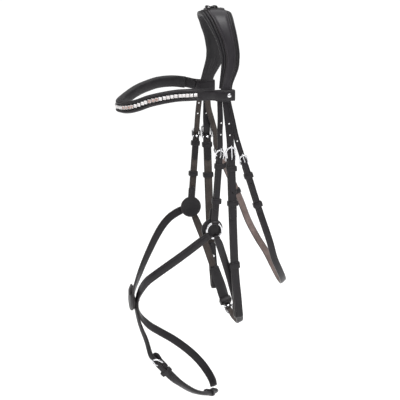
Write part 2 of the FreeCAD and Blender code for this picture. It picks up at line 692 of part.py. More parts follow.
# Each strap runs from its ring, across the front of the nose, to the other side below:
# X, Y, Z, outward direction, width.
NEAR_NOSE = [
    (-40.5, -60.7, -322.0, 0, -1, 0, 12), (-58.8, -59, -335.5, -0.15, -1, 0, 12),
    (-75.7, -55, -348.5, -0.35, -0.94, 0, 12), (-91.2, -47.8, -361.6, -0.55, -0.83, 0, 12),
    (-101.5, -40.8, -371.5, -0.7, -0.71, 0, 12), (-110, -31, -382, -0.83, -0.55, 0, 12),
    (-115.4, -21, -394, -0.93, -0.36, 0, 12), (-118.0, -9, -407, -0.99, -0.12, 0, 11),
    (-118.6, 0, -418, -1, 0, 0, 11), (-117.0, 6, -432, -0.97, 0.15, -0.15, 11),
    (-111.4, 11, -447.5, -0.85, 0.4, -0.35, 11), (-97, 19, -465, -0.55, 0.72, -0.42, 12),
    (-79.5, 28, -479, -0.3, 0.85, -0.44, 12), (-53.8, 37, -498, -0.1, 0.9, -0.42, 12),
    (-29, 41, -519.5, 0.1, 0.9, -0.42, 12), (-11.7, 40, -538.6, 0.3, 0.85, -0.42, 12),
    (-1.5, 36, -554, 0.5, 0.78, -0.4, 12), (3.4, 30, -564.5, 0.65, 0.7, -0.35, 12),
    (3.8, 23, -571, 0.6, 0.45, -0.6, 11),
]
FAR_NOSE = [
    (-39.5, 60.7, -304.3, 0, 1, 0, 12), (-53.4, 60, -312, -0.1, 1, 0, 12),
    (-65.3, 58, -323.2, -0.2, 0.98, 0, 12), (-76.2, 54.8, -338.3, -0.35, 0.94, 0, 12),
    (-87.1, 50, -356.2, -0.5, 0.87, 0, 12), (-96.8, 44, -372.4, -0.62, 0.78, 0, 12),
    (-107, 35, -389.4, -0.76, 0.65, 0, 12), (-117, 21, -404, -0.93, 0.36, 0, 11),
    (-122.6, 8, -413, -0.99, 0.1, 0, 10), (-123.2, 0, -419, -1, 0, 0, 9),
    (-122.0, -5, -430, -0.98, -0.15, -0.15, 9), (-119.0, -10, -446.6, -0.93, -0.3, -0.2, 9),
    (-116.0, -15, -458.2, -0.88, -0.42, -0.2, 9), (-110.6, -22, -474, -0.78, -0.58, -0.22, 9),
]
CHIN_BAR = Vector(-94, -35, -507)
chin_frame = make_frame(CHIN_BAR, Vector(-0.66, 0.08, 0.745), Vector(-0.5, -0.8, -0.33))
chin_out = chin_frame.Rotation.multVec(Vector(0, 0, 1))


def route_stations(rows):
    return [(Vector(*row[0:3]), Vector(*row[3:6]), row[6]) for row in rows]


def ring_start(side, angle, width):
    """First station of a strap that leaves a ring at an angle from +X towards +Z."""
    reach = dim("ring_radius") - 0.6
    offset = Vector(reach * math.cos(angle), 0, reach * math.sin(angle))
    return (ring_centres[side] + offset, Vector(0, side, 0), width)


RIVET_RADIUS = 1.6
nose_disc_frame = make_frame(Vector(-125.6, 0, -416.5), Vector(0.03, 0, 1), Vector(-1, 0, 0))
rivet_hole = rod(nose_disc_frame.Base, nose_disc_frame.Rotation.multVec(Vector(0, 0, 1)),
                 RIVET_RADIUS + 0.05, 24)
near_angle, far_angle, jaw_angle = math.radians(218), math.radians(200), math.radians(288)
nose_eye_width, jaw_eye_width = 10.5, 8.5
near_route = [ring_start(NEAR, near_angle, nose_eye_width)] + route_stations(NEAR_NOSE)
near_strap = strip(near_route, dim("nose_thick"), 2)
near_strap = with_ring_eye(near_strap, ring_centres[NEAR], near_angle, nose_eye_width)
shape_node("near_nose_strap", near_strap.cut(rivet_hole))

billet_end = billet_stations(chin_frame, NOSE_HEIGHT, 8.0, 28.0, NOSE_TOP)
far_route = [ring_start(FAR, far_angle, nose_eye_width)] + route_stations(FAR_NOSE)
far_curve = curve_through(far_route + billet_end[:1], 2)
far_upper = strip(far_curve[:21], dim("nose_thick"))
far_lower = strip(far_curve[20:] + billet_end[1:], dim("billet_thick"))
far_strap = with_ring_eye(far_upper.fuse(far_lower), ring_centres[FAR], far_angle, nose_eye_width)
far_strap = punch(far_strap.cut(rivet_hole), chin_frame, [HOLE_HEIGHT, HOLE_HEIGHT + 24], 4)
shape_node("far_nose_strap", far_strap)

disc = primitive("Cylinder", "nose_disc_round", shift(0, 0, 0),
                 Radius="dims.nose_disc_radius", Height="dims.nose_disc_thick")
nose_disc = fused("nose_disc", [disc, primitive("Box", "nose_disc_tab", shift(-6, 0, 0), Length="12",
                                                Width="dims.nose_disc_radius + 5", Height="2.4")])
nose_disc.Placement = nose_disc_frame
keep(nose_disc, "nose_disc")
rivet_post = primitive("Cylinder", "nose_rivet_post", shift(0, 0, -10.2),
                       Radius="%g" % RIVET_RADIUS, Height="10.18")
rivet_head = primitive("Cylinder", "nose_rivet_head", shift(0, 0, -10.5), Radius="4", Height="1.2")
nose_rivet = fused("nose_rivet", [rivet_post, rivet_head])
nose_rivet.Placement = nose_disc_frame
keep(nose_rivet, "nose_rivet")

# ---- chin strap ------------------------------------------------------------------------------------

CHIN = [
    (-60.9, -36.5, -541.5, -0.3, -0.5, -0.8, 13), (-43.7, -28.5, -555.3, -0.15, -0.3, -0.93, 13),
    (-28.3, -17, -565, 0.0, -0.12, -1, 13), (-13.7, -2, -572.5, 0.1, 0.1, -1, 13),
    (-2, 13, -576.5, 0.15, 0.2, -1, 13), (5, 22, -578, 0.15, 0.25, -1, 12),
]
chin_low = dim("strap_thick") - dim("chin_thick")
chin_middle = (dim("strap_thick") + chin_low) / 2
chin_start = [(along(chin_frame, 0, chin_middle), chin_out, dim("chin_width")),
              (along(chin_frame, -30, chin_middle), chin_out, dim("chin_width"))]
chin_round = curve_through([chin_start[1]] + route_stations(CHIN), 3)
chin_strap = strip(chin_start[:1] + chin_round, dim("chin_thick"))
shape_node("chin_strap", with_buckle_eye(chin_strap, chin_frame, "small_billet_width"))
buckle, fixed = add_buckle_set("chin", chin_frame, "small_billet_width", NOSE_HEIGHT,
                               "chin_width", 15.0, 0, chin_low)
keep(buckle, "chin_buckle")
keep(fixed, "chin_fixed_keeper")
tab = strip([(along(chin_frame, -10.6, chin_low - 1.4), chin_out, 12.5),
             (along(chin_frame, 2, chin_low - 1.8), chin_out, 12.5),
             (along(chin_frame, 11, chin_low - 2.6, 1.5), chin_out, 12.0),
             (along(chin_frame, 17, chin_low - 3.4, 2.5), chin_out, 7.0)], 2.4)
shape_node("chin_safe_tab", tab)
loop_direction = Vector(0.6, 0.77, -0.21)
loop_frame = make_frame(Vector(-7.85, 5.5, -574.5), loop_direction, Vector(0.12, 0.15, -1))
keep(make_keeper("chin_end_loop", loop_frame, 0, "chin_width", 5.9, 0.2, 8.0, -2.95),
     "chin_end_loop")

# ---- jaw strap ---------------------------------------------------------------------------------------

# Near strap down behind the cheekpiece and round under the jaw: X, Y, Z, outward, width.
NEAR_JAW = [
    (-11.8, -59.4, -326, 0, -1, 0, 10.5), (-7.6, -56.6, -337, 0, -1, 0, 10.5),
    (-2.6, -54.0, -351, 0, -1, 0, 10.5), (2.6, -51.5, -366, 0, -1, 0, 10.5),
    (7.6, -50.0, -382, 0, -1, 0, 10.5), (12.6, -47.5, -399, 0.05, -1, -0.05, 10.5),
    (19.5, -42.0, -421, 0.15, -0.95, -0.2, 10.5), (26.0, -34.0, -439, 0.25, -0.8, -0.5, 10.5),
    (31.0, -22.0, -454, 0.35, -0.5, -0.8, 10.5), (34.5, -8.0, -462, 0.4, -0.2, -0.9, 9.5),
    (35.5, 6.0, -464.5, 0.3, 0.1, -0.95, 9.0),
]
JAW_BAR = Vector(30.0, 37.0, -450.0)
JAW_HEIGHT = 12.5
jaw_frame = make_frame(JAW_BAR, Vector(0.22, -0.72, -0.66), Vector(0.15, 0.65, -0.7))
FAR_JAW = [
    (-13.0, 59.0, -322, 0, 1, 0, 10.5), (-8.0, 56.0, -336, 0, 1, 0, 10.5),
    (-2.0, 52.5, -354, 0, 1, 0, 10.5), (4.5, 49.0, -375, 0, 1, 0, 10.5),
    (9.0, 46.6, -389.5, 0, 1, 0, 10.5),
]
JAW_PAD = [
    (9.7, 46.4, -392, 0, 1, 0, 15), (14.5, 46.2, -405, 0.02, 1, 0, 15),
    (20.5, 46.6, -421, 0.05, 1, 0, 15),
]
jaw_billet = billet_stations(jaw_frame, JAW_HEIGHT, 8.0, 18.0, JAW_HEIGHT + 6.0)
jaw_curve = curve_through([ring_start(NEAR, jaw_angle, jaw_eye_width)]
                          + route_stations(NEAR_JAW) + jaw_billet[:1], 2)
near_jaw = strip(jaw_curve[:18], dim("strap_thick"))
near_jaw = near_jaw.fuse(strip(jaw_curve[17:] + jaw_billet[1:], dim("billet_thick")))
near_jaw = with_ring_eye(near_jaw, ring_centres[NEAR], jaw_angle, jaw_eye_width)
shape_node("near_jaw_strap", punch(near_jaw, jaw_frame, [HOLE_HEIGHT], 4))
far_jaw = strip([ring_start(FAR, jaw_angle, jaw_eye_width)] + route_stations(FAR_JAW),
                dim("strap_thick"), 2)
far_jaw = with_ring_eye(far_jaw, ring_centres[FAR], jaw_angle, jaw_eye_width)
shape_node("far_jaw_strap", far_jaw)
jaw_low = dim("strap_thick") - dim("jaw_pad_thick")
jaw_middle = (dim("strap_thick") + jaw_low) / 2
jaw_out = jaw_frame.Rotation.multVec(Vector(0, 0, 1))
jaw_end = [(along(jaw_frame, -16, jaw_middle), jaw_out, dim("jaw_pad_width")),
           (along(jaw_frame, 0, jaw_middle), jaw_out, dim("jaw_pad_width") - 2)]
jaw_round = curve_through(route_stations(JAW_PAD) + jaw_end[:1], 3)
jaw_pad = strip(jaw_round + jaw_end[1:], dim("jaw_pad_thick"))
shape_node("jaw_pad", with_buckle_eye(jaw_pad, jaw_frame, "small_billet_width"))
buckle, fixed = add_buckle_set("jaw", jaw_frame, "small_billet_width", JAW_HEIGHT,
                               "jaw_pad_width", 10.0, 0, jaw_low)
keep(buckle, "jaw_buckle")
keep(fixed, "jaw_fixed_keeper")

# ---- check and write ------------------------------------------------------------------------------------

doc.recompute()
failed = [item.Name for item in doc.Objects
          if any(flag in ("Invalid", "Error") for flag in item.State)]
if failed:
    raise RuntimeError("failed objects: " + ", ".join(failed))
os.makedirs("parts", exist_ok=True)
for node_object in subparts:
    shape = node_object.Shape
    if shape.isNull() or not shape.isValid() or shape.Volume < 1:
        raise RuntimeError("bad shape: " + node_object.Label)
    shape.exportStep(os.path.join("parts", node_object.Label + ".step"))
print(len(subparts), "sub-parts written")
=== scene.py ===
# %% [markdown]
# # A snaffle bridle, dressed in Blender
# The bridle's solids and joints come from CAD. Here each strap, pad and loop gets its
# real leather shape and finish, and the metal keeps its CAD solid under a polished
# surface. Lengths are in millimetres, in the CAD frame: the horse faces -X, its near
# side is -Y, +Z is up, and the origin is on top of the poll. Only the floor, the lamps
# and the camera are placed in metres.

# %% Load the frame
import bpy, bmesh
import json, math
from mathutils import Vector, Matrix

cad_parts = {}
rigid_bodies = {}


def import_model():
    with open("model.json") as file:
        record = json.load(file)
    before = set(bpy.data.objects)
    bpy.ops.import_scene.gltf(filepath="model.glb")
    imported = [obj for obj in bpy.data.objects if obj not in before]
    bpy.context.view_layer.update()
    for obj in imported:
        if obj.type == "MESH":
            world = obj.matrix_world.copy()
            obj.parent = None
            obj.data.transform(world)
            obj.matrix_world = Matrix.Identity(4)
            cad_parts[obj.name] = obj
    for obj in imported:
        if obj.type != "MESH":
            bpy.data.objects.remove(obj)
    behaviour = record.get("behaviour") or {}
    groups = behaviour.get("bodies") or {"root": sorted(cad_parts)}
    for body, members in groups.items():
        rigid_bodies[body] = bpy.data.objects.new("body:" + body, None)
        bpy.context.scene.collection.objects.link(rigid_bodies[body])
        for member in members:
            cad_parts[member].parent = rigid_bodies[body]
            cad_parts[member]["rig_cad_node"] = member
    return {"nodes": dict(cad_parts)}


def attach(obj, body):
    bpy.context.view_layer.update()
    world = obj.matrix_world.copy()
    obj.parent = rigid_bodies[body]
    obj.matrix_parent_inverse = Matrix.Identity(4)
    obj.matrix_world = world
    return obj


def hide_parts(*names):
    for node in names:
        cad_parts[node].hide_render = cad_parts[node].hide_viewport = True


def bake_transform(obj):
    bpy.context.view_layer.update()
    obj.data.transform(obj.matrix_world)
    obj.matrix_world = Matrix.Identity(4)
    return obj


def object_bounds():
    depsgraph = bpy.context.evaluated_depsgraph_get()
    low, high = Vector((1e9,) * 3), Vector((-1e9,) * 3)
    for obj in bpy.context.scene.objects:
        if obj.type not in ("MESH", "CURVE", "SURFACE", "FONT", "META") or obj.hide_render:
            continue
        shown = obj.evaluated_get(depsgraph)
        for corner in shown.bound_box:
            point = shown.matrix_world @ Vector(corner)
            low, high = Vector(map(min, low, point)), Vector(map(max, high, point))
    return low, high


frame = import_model()
cad_low, cad_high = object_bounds()

# %% [markdown]
# ## Colour and nodes
# A colour picked on a screen is sRGB, but shaders mix light, which is linear. One
# function turns hex into linear, so that every finish below is written as a maker
# would pick it. Another adds a shader node with its settings and links, and the rest
# are the few patterns that every finish is made from.

# %% Colour and node helpers
MM = 0.001
NEAR, FAR = -1, 1
SIDES = {NEAR: "near", FAR: "far"}


def colour(hex_code):
    """An sRGB hex colour as linear RGBA."""
    parts = [int(hex_code[i:i + 2], 16) / 255 for i in (1, 3, 5)]
    return [p / 12.92 if p < 0.04045 else ((p + 0.055) / 1.055) ** 2.4 for p in parts] + [1]


def add_node(material, kind, inputs=None, **settings):
    """One shader node; inputs holds values, or sockets to link from."""
    node = material.node_tree.nodes.new(kind)
    for key, value in settings.items():
        setattr(node, key, value)
    for key, value in (inputs or {}).items():
        if isinstance(value, bpy.types.NodeSocket):
            material.node_tree.links.new(value, node.inputs[key])
        else:
            node.inputs[key].default_value = value
    return node


def new_material(name, **surface):
    """A material with its Principled shader's own sockets set."""
    material = bpy.data.materials.new(name)
    material.use_nodes = True
    shader = material.node_tree.nodes["Principled BSDF"]
    for key, value in surface.items():
        shader.inputs[key.replace("_", " ")].default_value = value
    return material, shader, add_node(material, "ShaderNodeTexCoord").outputs["Object"]


def noise(material, place, size, detail, rough=0.5):
    """Noise whose patches are about size millimetres wide."""
    return add_node(material, "ShaderNodeTexNoise",
                    {"Vector": place, "Scale": 1 / (size * MM), "Detail": detail,
                     "Roughness": rough}).outputs["Fac"]


def stretch(material, value, low, high, to_low=0.0, to_high=1.0):
    """A value's stretch from low to high, spread over another one."""
    return add_node(material, "ShaderNodeMapRange",
                    {"Value": value, "From Min": low, "From Max": high, "To Min": to_low,
                     "To Max": to_high}).outputs["Result"]


def mix(material, share, first, second):
    """Two sRGB hex colours mixed by a share."""
    return add_node(material, "ShaderNodeMix", {0: share, 6: colour(first), 7: colour(second)},
                    data_type="RGBA").outputs[2]


def combine(material, first, second, operation):
    return add_node(material, "ShaderNodeMath", {0: first, 1: second},
                    operation=operation).outputs[0]


def relief(material, height, strength, depth):
    """A surface direction tilted by a height; depth is in millimetres."""
    return add_node(material, "ShaderNodeBump", {"Height": height, "Strength": strength,
                                                 "Distance": depth * MM}).outputs["Normal"]


def feed(material, shader, **outputs):
    """Link node outputs to the shader's own sockets."""
    for key, output in outputs.items():
        material.node_tree.links.new(output, shader.inputs[key.replace("_", " ")])


print("black leather in linear light", [round(c, 4) for c in colour("#1f1c20")])

# %% [markdown]
# ## Waxed bridle leather
# Vegetable-tanned cowhide, dyed black through and dressed with wax. The eye sees a
# near-black, slightly warm ground, a fine pebbled grain, broad soft highlights, and a
# greyer bloom where the dressing has dulled. Real grain is about 0.4 mm, too fine for
# a full view, so its cells are drawn 0.9 mm wide.

# %% Grain-side leather
GRAIN_MM, CREASE_MM, MOTTLE_MM = 0.9, 3.2, 14


def grain_leather(name, dark, light, rough, depth, coat):
    """Smooth-side leather: mottled colour, uneven gloss and a pebbled grain."""
    material, shader, place = new_material(name, IOR=1.5, Specular_IOR_Level=0.28,
                                           Coat_Weight=coat, Coat_Roughness=0.3)
    mottle = noise(material, place, MOTTLE_MM, 4.0)
    grain = add_node(material, "ShaderNodeTexVoronoi",
                     {"Vector": place, "Scale": 1 / (GRAIN_MM * MM)}, feature="F1")
    height = combine(material, grain.outputs["Distance"], noise(material, place, CREASE_MM, 5.0),
                     "ADD")
    feed(material, shader, Base_Color=mix(material, mottle, dark, light),
         Roughness=stretch(material, mottle, 0.3, 0.7, rough - 0.05, rough + 0.08),
         Normal=relief(material, height, 0.35, depth))
    return material


bridle_leather = grain_leather("waxed_bridle_leather", "#151315", "#242125", 0.4, 0.22, 0.05)
# The crown panel and poll cap take a lighter, glossier copy of the bridle leather. The extra coat is
# real gloss, and the lighter colours are a painted highlight for the overhead light on the top of the
# head.
crown_leather_painted_highlight = grain_leather("crown_panel_leather_painted_highlight", "#1b191c", "#2c292e", 0.4, 0.22, 0.14)
padding_leather = grain_leather("soft_padding_leather", "#171618", "#282629", 0.46, 0.35, 0.04)
print("grain leathers made, grain", GRAIN_MM, "mm")

# %% [markdown]
# ## Cut edges and flesh side
# A strap's cut edge is dyed and rubbed with gum until it shines a little, and wears
# browner. The flesh side is the hide's inner face: short fibres, no wax, so it is
# matt, and a dusty brown-grey. The throatlash shows a paler, pinker flesh side.

# %% Edge and flesh finishes
NAP_MM, PATCH_MM = 1.2, 20


def fibre_leather(name, dark, light, rough, depth):
    """Matt leather with a short nap, drawn 1.2 mm long so that it shows."""
    material, shader, place = new_material(name, IOR=1.45, Specular_IOR_Level=0.3,
                                           Sheen_Weight=0.1, Sheen_Roughness=0.6, Roughness=rough)
    nap = noise(material, place, NAP_MM, 6.0, 0.65)
    blend = combine(material, nap, noise(material, place, PATCH_MM, 3.0), "MULTIPLY")
    share = stretch(material, blend, 0.12, 0.42)
    feed(material, shader, Base_Color=mix(material, share, dark, light),
         Normal=relief(material, nap, 0.5, depth))
    return material


edge_leather = fibre_leather("gum_rubbed_edge", "#141214", "#2a2426", 0.38, 0.06)
flesh_leather = fibre_leather("flesh_side_leather", "#2b2624", "#4d4541", 0.85, 0.15)
pale_flesh_leather = fibre_leather("pale_flesh_side_leather", "#584c48", "#857571", 0.85, 0.15)
print("edge and flesh finishes made")

# %% [markdown]
# ## Thread, steel and cut glass
# Stitches are waxed linen thread, a shade lighter than the hide. Buckles, rings and
# studs are polished stainless steel: a bright mirror broken by faint rubbing marks.
# The browband's stones are foil-backed cut glass, silver with a rose tint here and
# there, sunk in plated square cups.

# %% Thread, steel and glass finishes
linen_thread = fibre_leather("waxed_linen_thread", "#2c292c", "#454145", 0.6, 0.05)


def bright_metal(name, tint, rough):
    """Polished metal with rubbing marks 2.5 mm long across the shine."""
    material, shader, place = new_material(name, Metallic=1.0)
    marks = noise(material, place, 2.5, 6.0)
    feed(material, shader, Base_Color=mix(material, marks, tint, "#f4f4f6"),
         Roughness=stretch(material, marks, 0.3, 0.7, rough, rough + 0.1))
    return material


polished_steel = bright_metal("polished_stainless_steel", "#c9c9cd", 0.08)
plated_cup = bright_metal("plated_stone_cups", "#d8d6d4", 0.12)

cut_glass, glass_shader, _ = new_material("foil_backed_cut_glass", Metallic=0.65, IOR=1.6,
                                          Roughness=0.06, Coat_Weight=1.0, Coat_Roughness=0.02)
stone_tint = add_node(cut_glass, "ShaderNodeAttribute", attribute_name="tint").outputs["Fac"]
feed(cut_glass, glass_shader, Base_Color=mix(cut_glass, stone_tint, "#e9e6e6", "#a07c70"))
print("metals and glass made")

# %% [markdown]
# ## How a strap is made here
# A strap is one outline, the cross-section, carried along a line of stations. Each
# station says where the strap's middle is, which way its grain side faces and how
# wide it is, the same way the CAD strips are drawn. A smooth curve through the
# stations bends it, and every stretch of the outline has its own finish: grain
# side, cut edge or flesh side. Sweeping beats editing by hand, since one change of
# outline reshapes every strap.

# %% Frames and curves
X, Y, Z = Vector((1, 0, 0)), Vector((0, 1, 0)), Vector((0, 0, 1))
THICK = 3.0                            # a strap of two layers sewn together
GRAIN, EDGE, FLESH = 0, 1, 2           # places in a strap's list of finishes
SHARP = math.radians(48)               # edges sharper than this stay crisp


def make_frame(origin, up, outward):
    """Matrix with y along a strap, z outwards and x across."""
    y_axis = Vector(up).normalized()
    z_axis = (Vector(outward) - y_axis * Vector(outward).dot(y_axis)).normalized()
    matrix = Matrix((y_axis.cross(z_axis), y_axis, z_axis)).transposed().to_4x4()
    matrix.translation = Vector(origin)
    return matrix


def along(place, y, z=0.0, x=0.0):
    return place @ Vector((x, y, z))


def facing(place):
    return place.to_3x3() @ Z


def rows_on(place, rows):
    """Stations along a frame, from rows of y, z and width."""
    return [(along(place, y, z), facing(place), width) for y, z, width in rows]


def route(rows):
    """Stations from rows of X, Y, Z, facing X, Y, Z and width."""
    return [(Vector(r[0:3]), Vector(r[3:6]), *r[6:]) for r in rows]


def smooth(stations, parts):
    """More stations, on the Catmull-Rom curve through these."""
    rows = [[*p, *n, *rest] for p, n, *rest in stations]
    rows = [rows[0]] + rows + [rows[-1]]
    result = []
    for a, b, c, d in zip(rows, rows[1:], rows[2:], rows[3:]):
        for step in range(parts):
            t = step / parts
            result.append([0.5 * (2 * q + (r - p) * t + (2 * p - 5 * q + 4 * r - s) * t * t
                                  + (3 * q - p - 3 * r + s) * t ** 3)
                           for p, q, r, s in zip(a, b, c, d)])
    return route(result) + [stations[-1]]


def both_sides(half):
    """Stations from the near side to the far side, from the far half, middle first."""
    flip = Vector((1, -1, 1))
    return [(p * flip, n * flip, *rest) for p, n, *rest in half[:0:-1]] + half


def axes_at(stations, i, closed=False):
    """Middle, across and normal of one station."""
    count = len(stations)
    before = stations[(i - 1) % count if closed else max(i - 1, 0)][0]
    after = stations[(i + 1) % count if closed else min(i + 1, count - 1)][0]
    forward = (after - before).normalized()
    normal = (stations[i][1] - forward * stations[i][1].dot(forward)).normalized()
    return stations[i][0], forward.cross(normal), normal


def rounded_tip(stations, width, reach):
    """Stations with a rounded end added, reaching past the last one."""
    last, normal = stations[-1][0], stations[-1][1]
    ahead = (last - stations[-2][0]).normalized()
    return stations + [(last + ahead * reach * t, normal, width * math.sqrt(1.02 - t * t))
                       for t in (0.35, 0.65, 0.85, 0.96, 1.0)]


print("frames and curves ready")

# %% From points to a piece, and the sweep
def circle(radius, count):
    """Points (x, y) round a circle."""
    return [(radius * math.cos(a), radius * math.sin(a))
            for a in (2 * math.pi * k / count for k in range(count))]


def quads(here, there, size):
    """Faces that join two rings of points, from each ring's first index."""
    return [(here + k, here + (k + 1) % size, there + (k + 1) % size, there + k)
            for k in range(size)]


def lids(first, last, size):
    """Faces that close the first ring and the last."""
    return [tuple(range(first, first + size)), tuple(range(last, last + size))]


def make_piece(name, points, faces, skins, materials, body=None):
    """A mesh in millimetres made into a piece in metres, which may ride on a body."""
    mesh = bpy.data.meshes.new(name)
    mesh.from_pydata([p * MM for p in points], [], faces)
    for material in materials:
        mesh.materials.append(material)
    mesh.polygons.foreach_set("material_index", skins)
    tidy = bmesh.new()
    tidy.from_mesh(mesh)
    bmesh.ops.recalc_face_normals(tidy, faces=tidy.faces)
    tidy.to_mesh(mesh)
    tidy.free()
    mesh.shade_smooth()
    mesh.set_sharp_from_angle(angle=SHARP)
    piece = bpy.data.objects.new(name, mesh)
    bpy.context.scene.collection.objects.link(piece)
    if body:
        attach(piece, body)
    return piece


def sweep(name, stations, outline, materials, body=None, closed=False):
    """Carry an outline along stations; its points are (across, out, finish)."""
    points, faces, skins = [], [], []
    rings = len(stations)
    for i, station in enumerate(stations):
        middle, across, normal = axes_at(stations, i, closed)
        shape = outline(*station[2:])
        points += [middle + across * x + normal * z for x, z, _ in shape]
    size = len(shape)
    for i in range(rings if closed else rings - 1):
        faces += quads(i * size, (i + 1) % rings * size, size)
        skins += [finish for _, _, finish in shape]
    if not closed:
        faces += lids(0, (rings - 1) * size, size)
        skins += [EDGE, EDGE]
    return make_piece(name, points, faces, skins, materials, body)


print("sweep ready")

# %% [markdown]
# ## Cross-sections
# A strap's edges are rounded, and a crease line is pressed into the grain side just
# inside each edge, where the stitches sit. A raised strap has a core under the grain
# side, so its middle stands up between the creases. A padded one has a soft lining
# that swells below it and past its edges.

# %% Outlines


def mirrored(bottom, right, top):
    """A closed outline from its bottom middle, its right half and its top middle."""
    left = [(-x, z, right[k - 1][2] if k else bottom[2]) for k, (x, z, _) in enumerate(right)]
    return [bottom] + right + [top] + left[::-1]


def strap_outline(thick, rise=0.25, crease=1.7, depth=0.35):
    """Flat or raised strap: flesh side, two edges, and a creased grain side."""
    def outline(width):
        h, t, r = width / 2, thick / 2, min(0.85, thick * 0.32, width * 0.2)
        line = min(crease, h * 0.5)
        right = [(h * 0.5, -t, FLESH), (h - r, -t, EDGE), (h - 0.3 * r, -t + 0.3 * r, EDGE),
                 (h, -t + r, EDGE), (h, t - r, EDGE), (h - 0.3 * r, t - 0.3 * r, EDGE),
                 (h - r, t, GRAIN), (h - line + 0.1 * line, t + rise * 0.15, GRAIN),
                 (h - line, t + rise * 0.15 - depth, GRAIN),
                 (h - line * 1.25, t + rise * 0.45, GRAIN),
                 ((h - line) * 0.62, t + rise * 0.85, GRAIN), ((h - line) * 0.3, t + rise, GRAIN)]
        return mirrored((0, -t, FLESH), right, (0, t + rise, GRAIN))
    return outline


def padded_outline(thick, swell=0.8, face=2.2):
    """Leather face on a soft lining, which bulges below and at both sides."""
    def outline(width):
        h, t = width / 2, thick / 2
        seam = t - face
        right = [(h * 0.35, -t - swell * 0.95, FLESH), (h * 0.68, -t - swell * 0.6, FLESH),
                 (h - 1.6, -t + 0.1, FLESH), (h - 0.3, -t + 1.0, FLESH),
                 (h + swell * 0.4, (seam - t) / 2, FLESH), (h - 0.1, seam - 0.5, FLESH),
                 (h - 0.7, seam, EDGE), (h - 0.3, seam + 0.5, EDGE), (h - 0.3, t - 0.7, EDGE),
                 (h - 1.0, t, GRAIN), (h - 1.7, t + 0.05, GRAIN), (h - 2.0, t - 0.3, GRAIN),
                 (h - 2.4, t + 0.15, GRAIN), (h * 0.4, t + 0.35, GRAIN)]
        return mirrored((0, -t - swell, FLESH), right, (0, t + 0.4, GRAIN))
    return outline


STRAP = [bridle_leather, edge_leather, flesh_leather]
PADDED = [bridle_leather, edge_leather, padding_leather]
LINED = [bridle_leather, edge_leather, bridle_leather]
print("outline points", len(strap_outline(3.0)(10)), len(padded_outline(5.0)(13)))

# %% [markdown]
# ## Stitches
# Saddle stitches lie in the crease, about three to the centimetre on a working
# bridle. Each one is a small bead of thread 2.4 mm long at a pitch of 3.3 mm, as
# real geometry, since a seam drawn as bump alone would be missing from the mesh.

# %% Stitch rows
STITCH_PITCH, STITCH_LONG, STITCH_WIDE, STITCH_HIGH = 3.3, 2.4, 0.8, 0.35


def stitch_rows(name, stations, offsets, body=None):
    """Rows of stitches; offsets gives one (across, out) pair for each row."""
    points, faces = [], []
    bead = [(0.5, 0), (0.35, 0.7), (0, 1), (-0.35, 0.7), (-0.5, 0), (0, -0.8)]
    size = len(bead)
    for row in range(len(offsets(*stations[0][2:]))):
        travelled = STITCH_PITCH / 2
        for i in range(len(stations) - 1):
            middle, across, normal = axes_at(stations, i)
            end, end_across, end_normal = axes_at(stations, i + 1)
            x, z = offsets(*stations[i][2:])[row]
            end_x, end_z = offsets(*stations[i + 1][2:])[row]
            start = middle + across * x + normal * z
            step = end + end_across * end_x + end_normal * end_z - start
            ahead = step.normalized()
            while travelled < step.length:
                centre, base = start + ahead * travelled, len(points)
                for place, grow in ((-0.5, 0.3), (-0.3, 1), (0.3, 1), (0.5, 0.3)):
                    points += [centre + ahead * (place * STITCH_LONG)
                               + across * (a * STITCH_WIDE * grow)
                               + normal * (b * STITCH_HIGH * grow) for a, b in bead]
                for j in range(3):
                    faces += quads(base + j * size, base + (j + 1) * size, size)
                faces += lids(base, base + 3 * size, size)
                travelled += STITCH_PITCH
            travelled -= step.length
    return make_piece(name, points, faces, [0] * len(faces), [linen_thread], body)


def in_creases(inset, height):
    """Offsets of two rows, one in each crease."""
    return lambda width: [(side * (width / 2 - min(inset, width * 0.25)), height)
                          for side in (-1, 1)]


print("stitch pitch", STITCH_PITCH, "mm")

# %% [markdown]
# ## Holes, folds and keepers
# A billet's holes are punched right through, so daylight shows in them, and a boolean
# cut does what the punch does. Where a strap turns round a buckle bar, its skived end
# passes round the bar and comes back under itself, in two halves with a slot between
# them for the prong. A keeper is a narrow loop of leather bent round the strap.

# %% Punch
HOLE_RADIUS = 1.25


def punch(piece, centres, direction):
    """Cut round holes through a piece."""
    points, faces, sides, reach = [], [], 20, 6
    side = direction.orthogonal().normalized()
    other = direction.cross(side).normalized()
    for centre in centres:
        base = len(points)
        points += [centre + direction * end + side * x + other * y
                   for end in (-reach, reach) for x, y in circle(HOLE_RADIUS, sides)]
        faces += quads(base, base + sides, sides) + lids(base, base + sides, sides)
    cutter = make_piece(piece.name + "_punch", points, faces, [EDGE] * len(faces),
                        list(piece.data.materials))
    cut = piece.modifiers.new("holes", "BOOLEAN")
    cut.operation, cut.solver, cut.object = "DIFFERENCE", "EXACT", cutter
    bpy.context.view_layer.update()
    ready = piece.evaluated_get(bpy.context.evaluated_depsgraph_get())
    mesh = bpy.data.meshes.new_from_object(ready)
    piece.modifiers.remove(cut)
    piece.data = mesh
    bpy.data.objects.remove(cutter)
    mesh.set_sharp_from_angle(angle=SHARP)
    return piece


# %% Folds and keepers
BAR_LIFT, BAR_RADIUS, CREW_SLOT, SKIVED, TURNED_REACH = 0.4, 1.35, 3.4, 1.5, 36.0


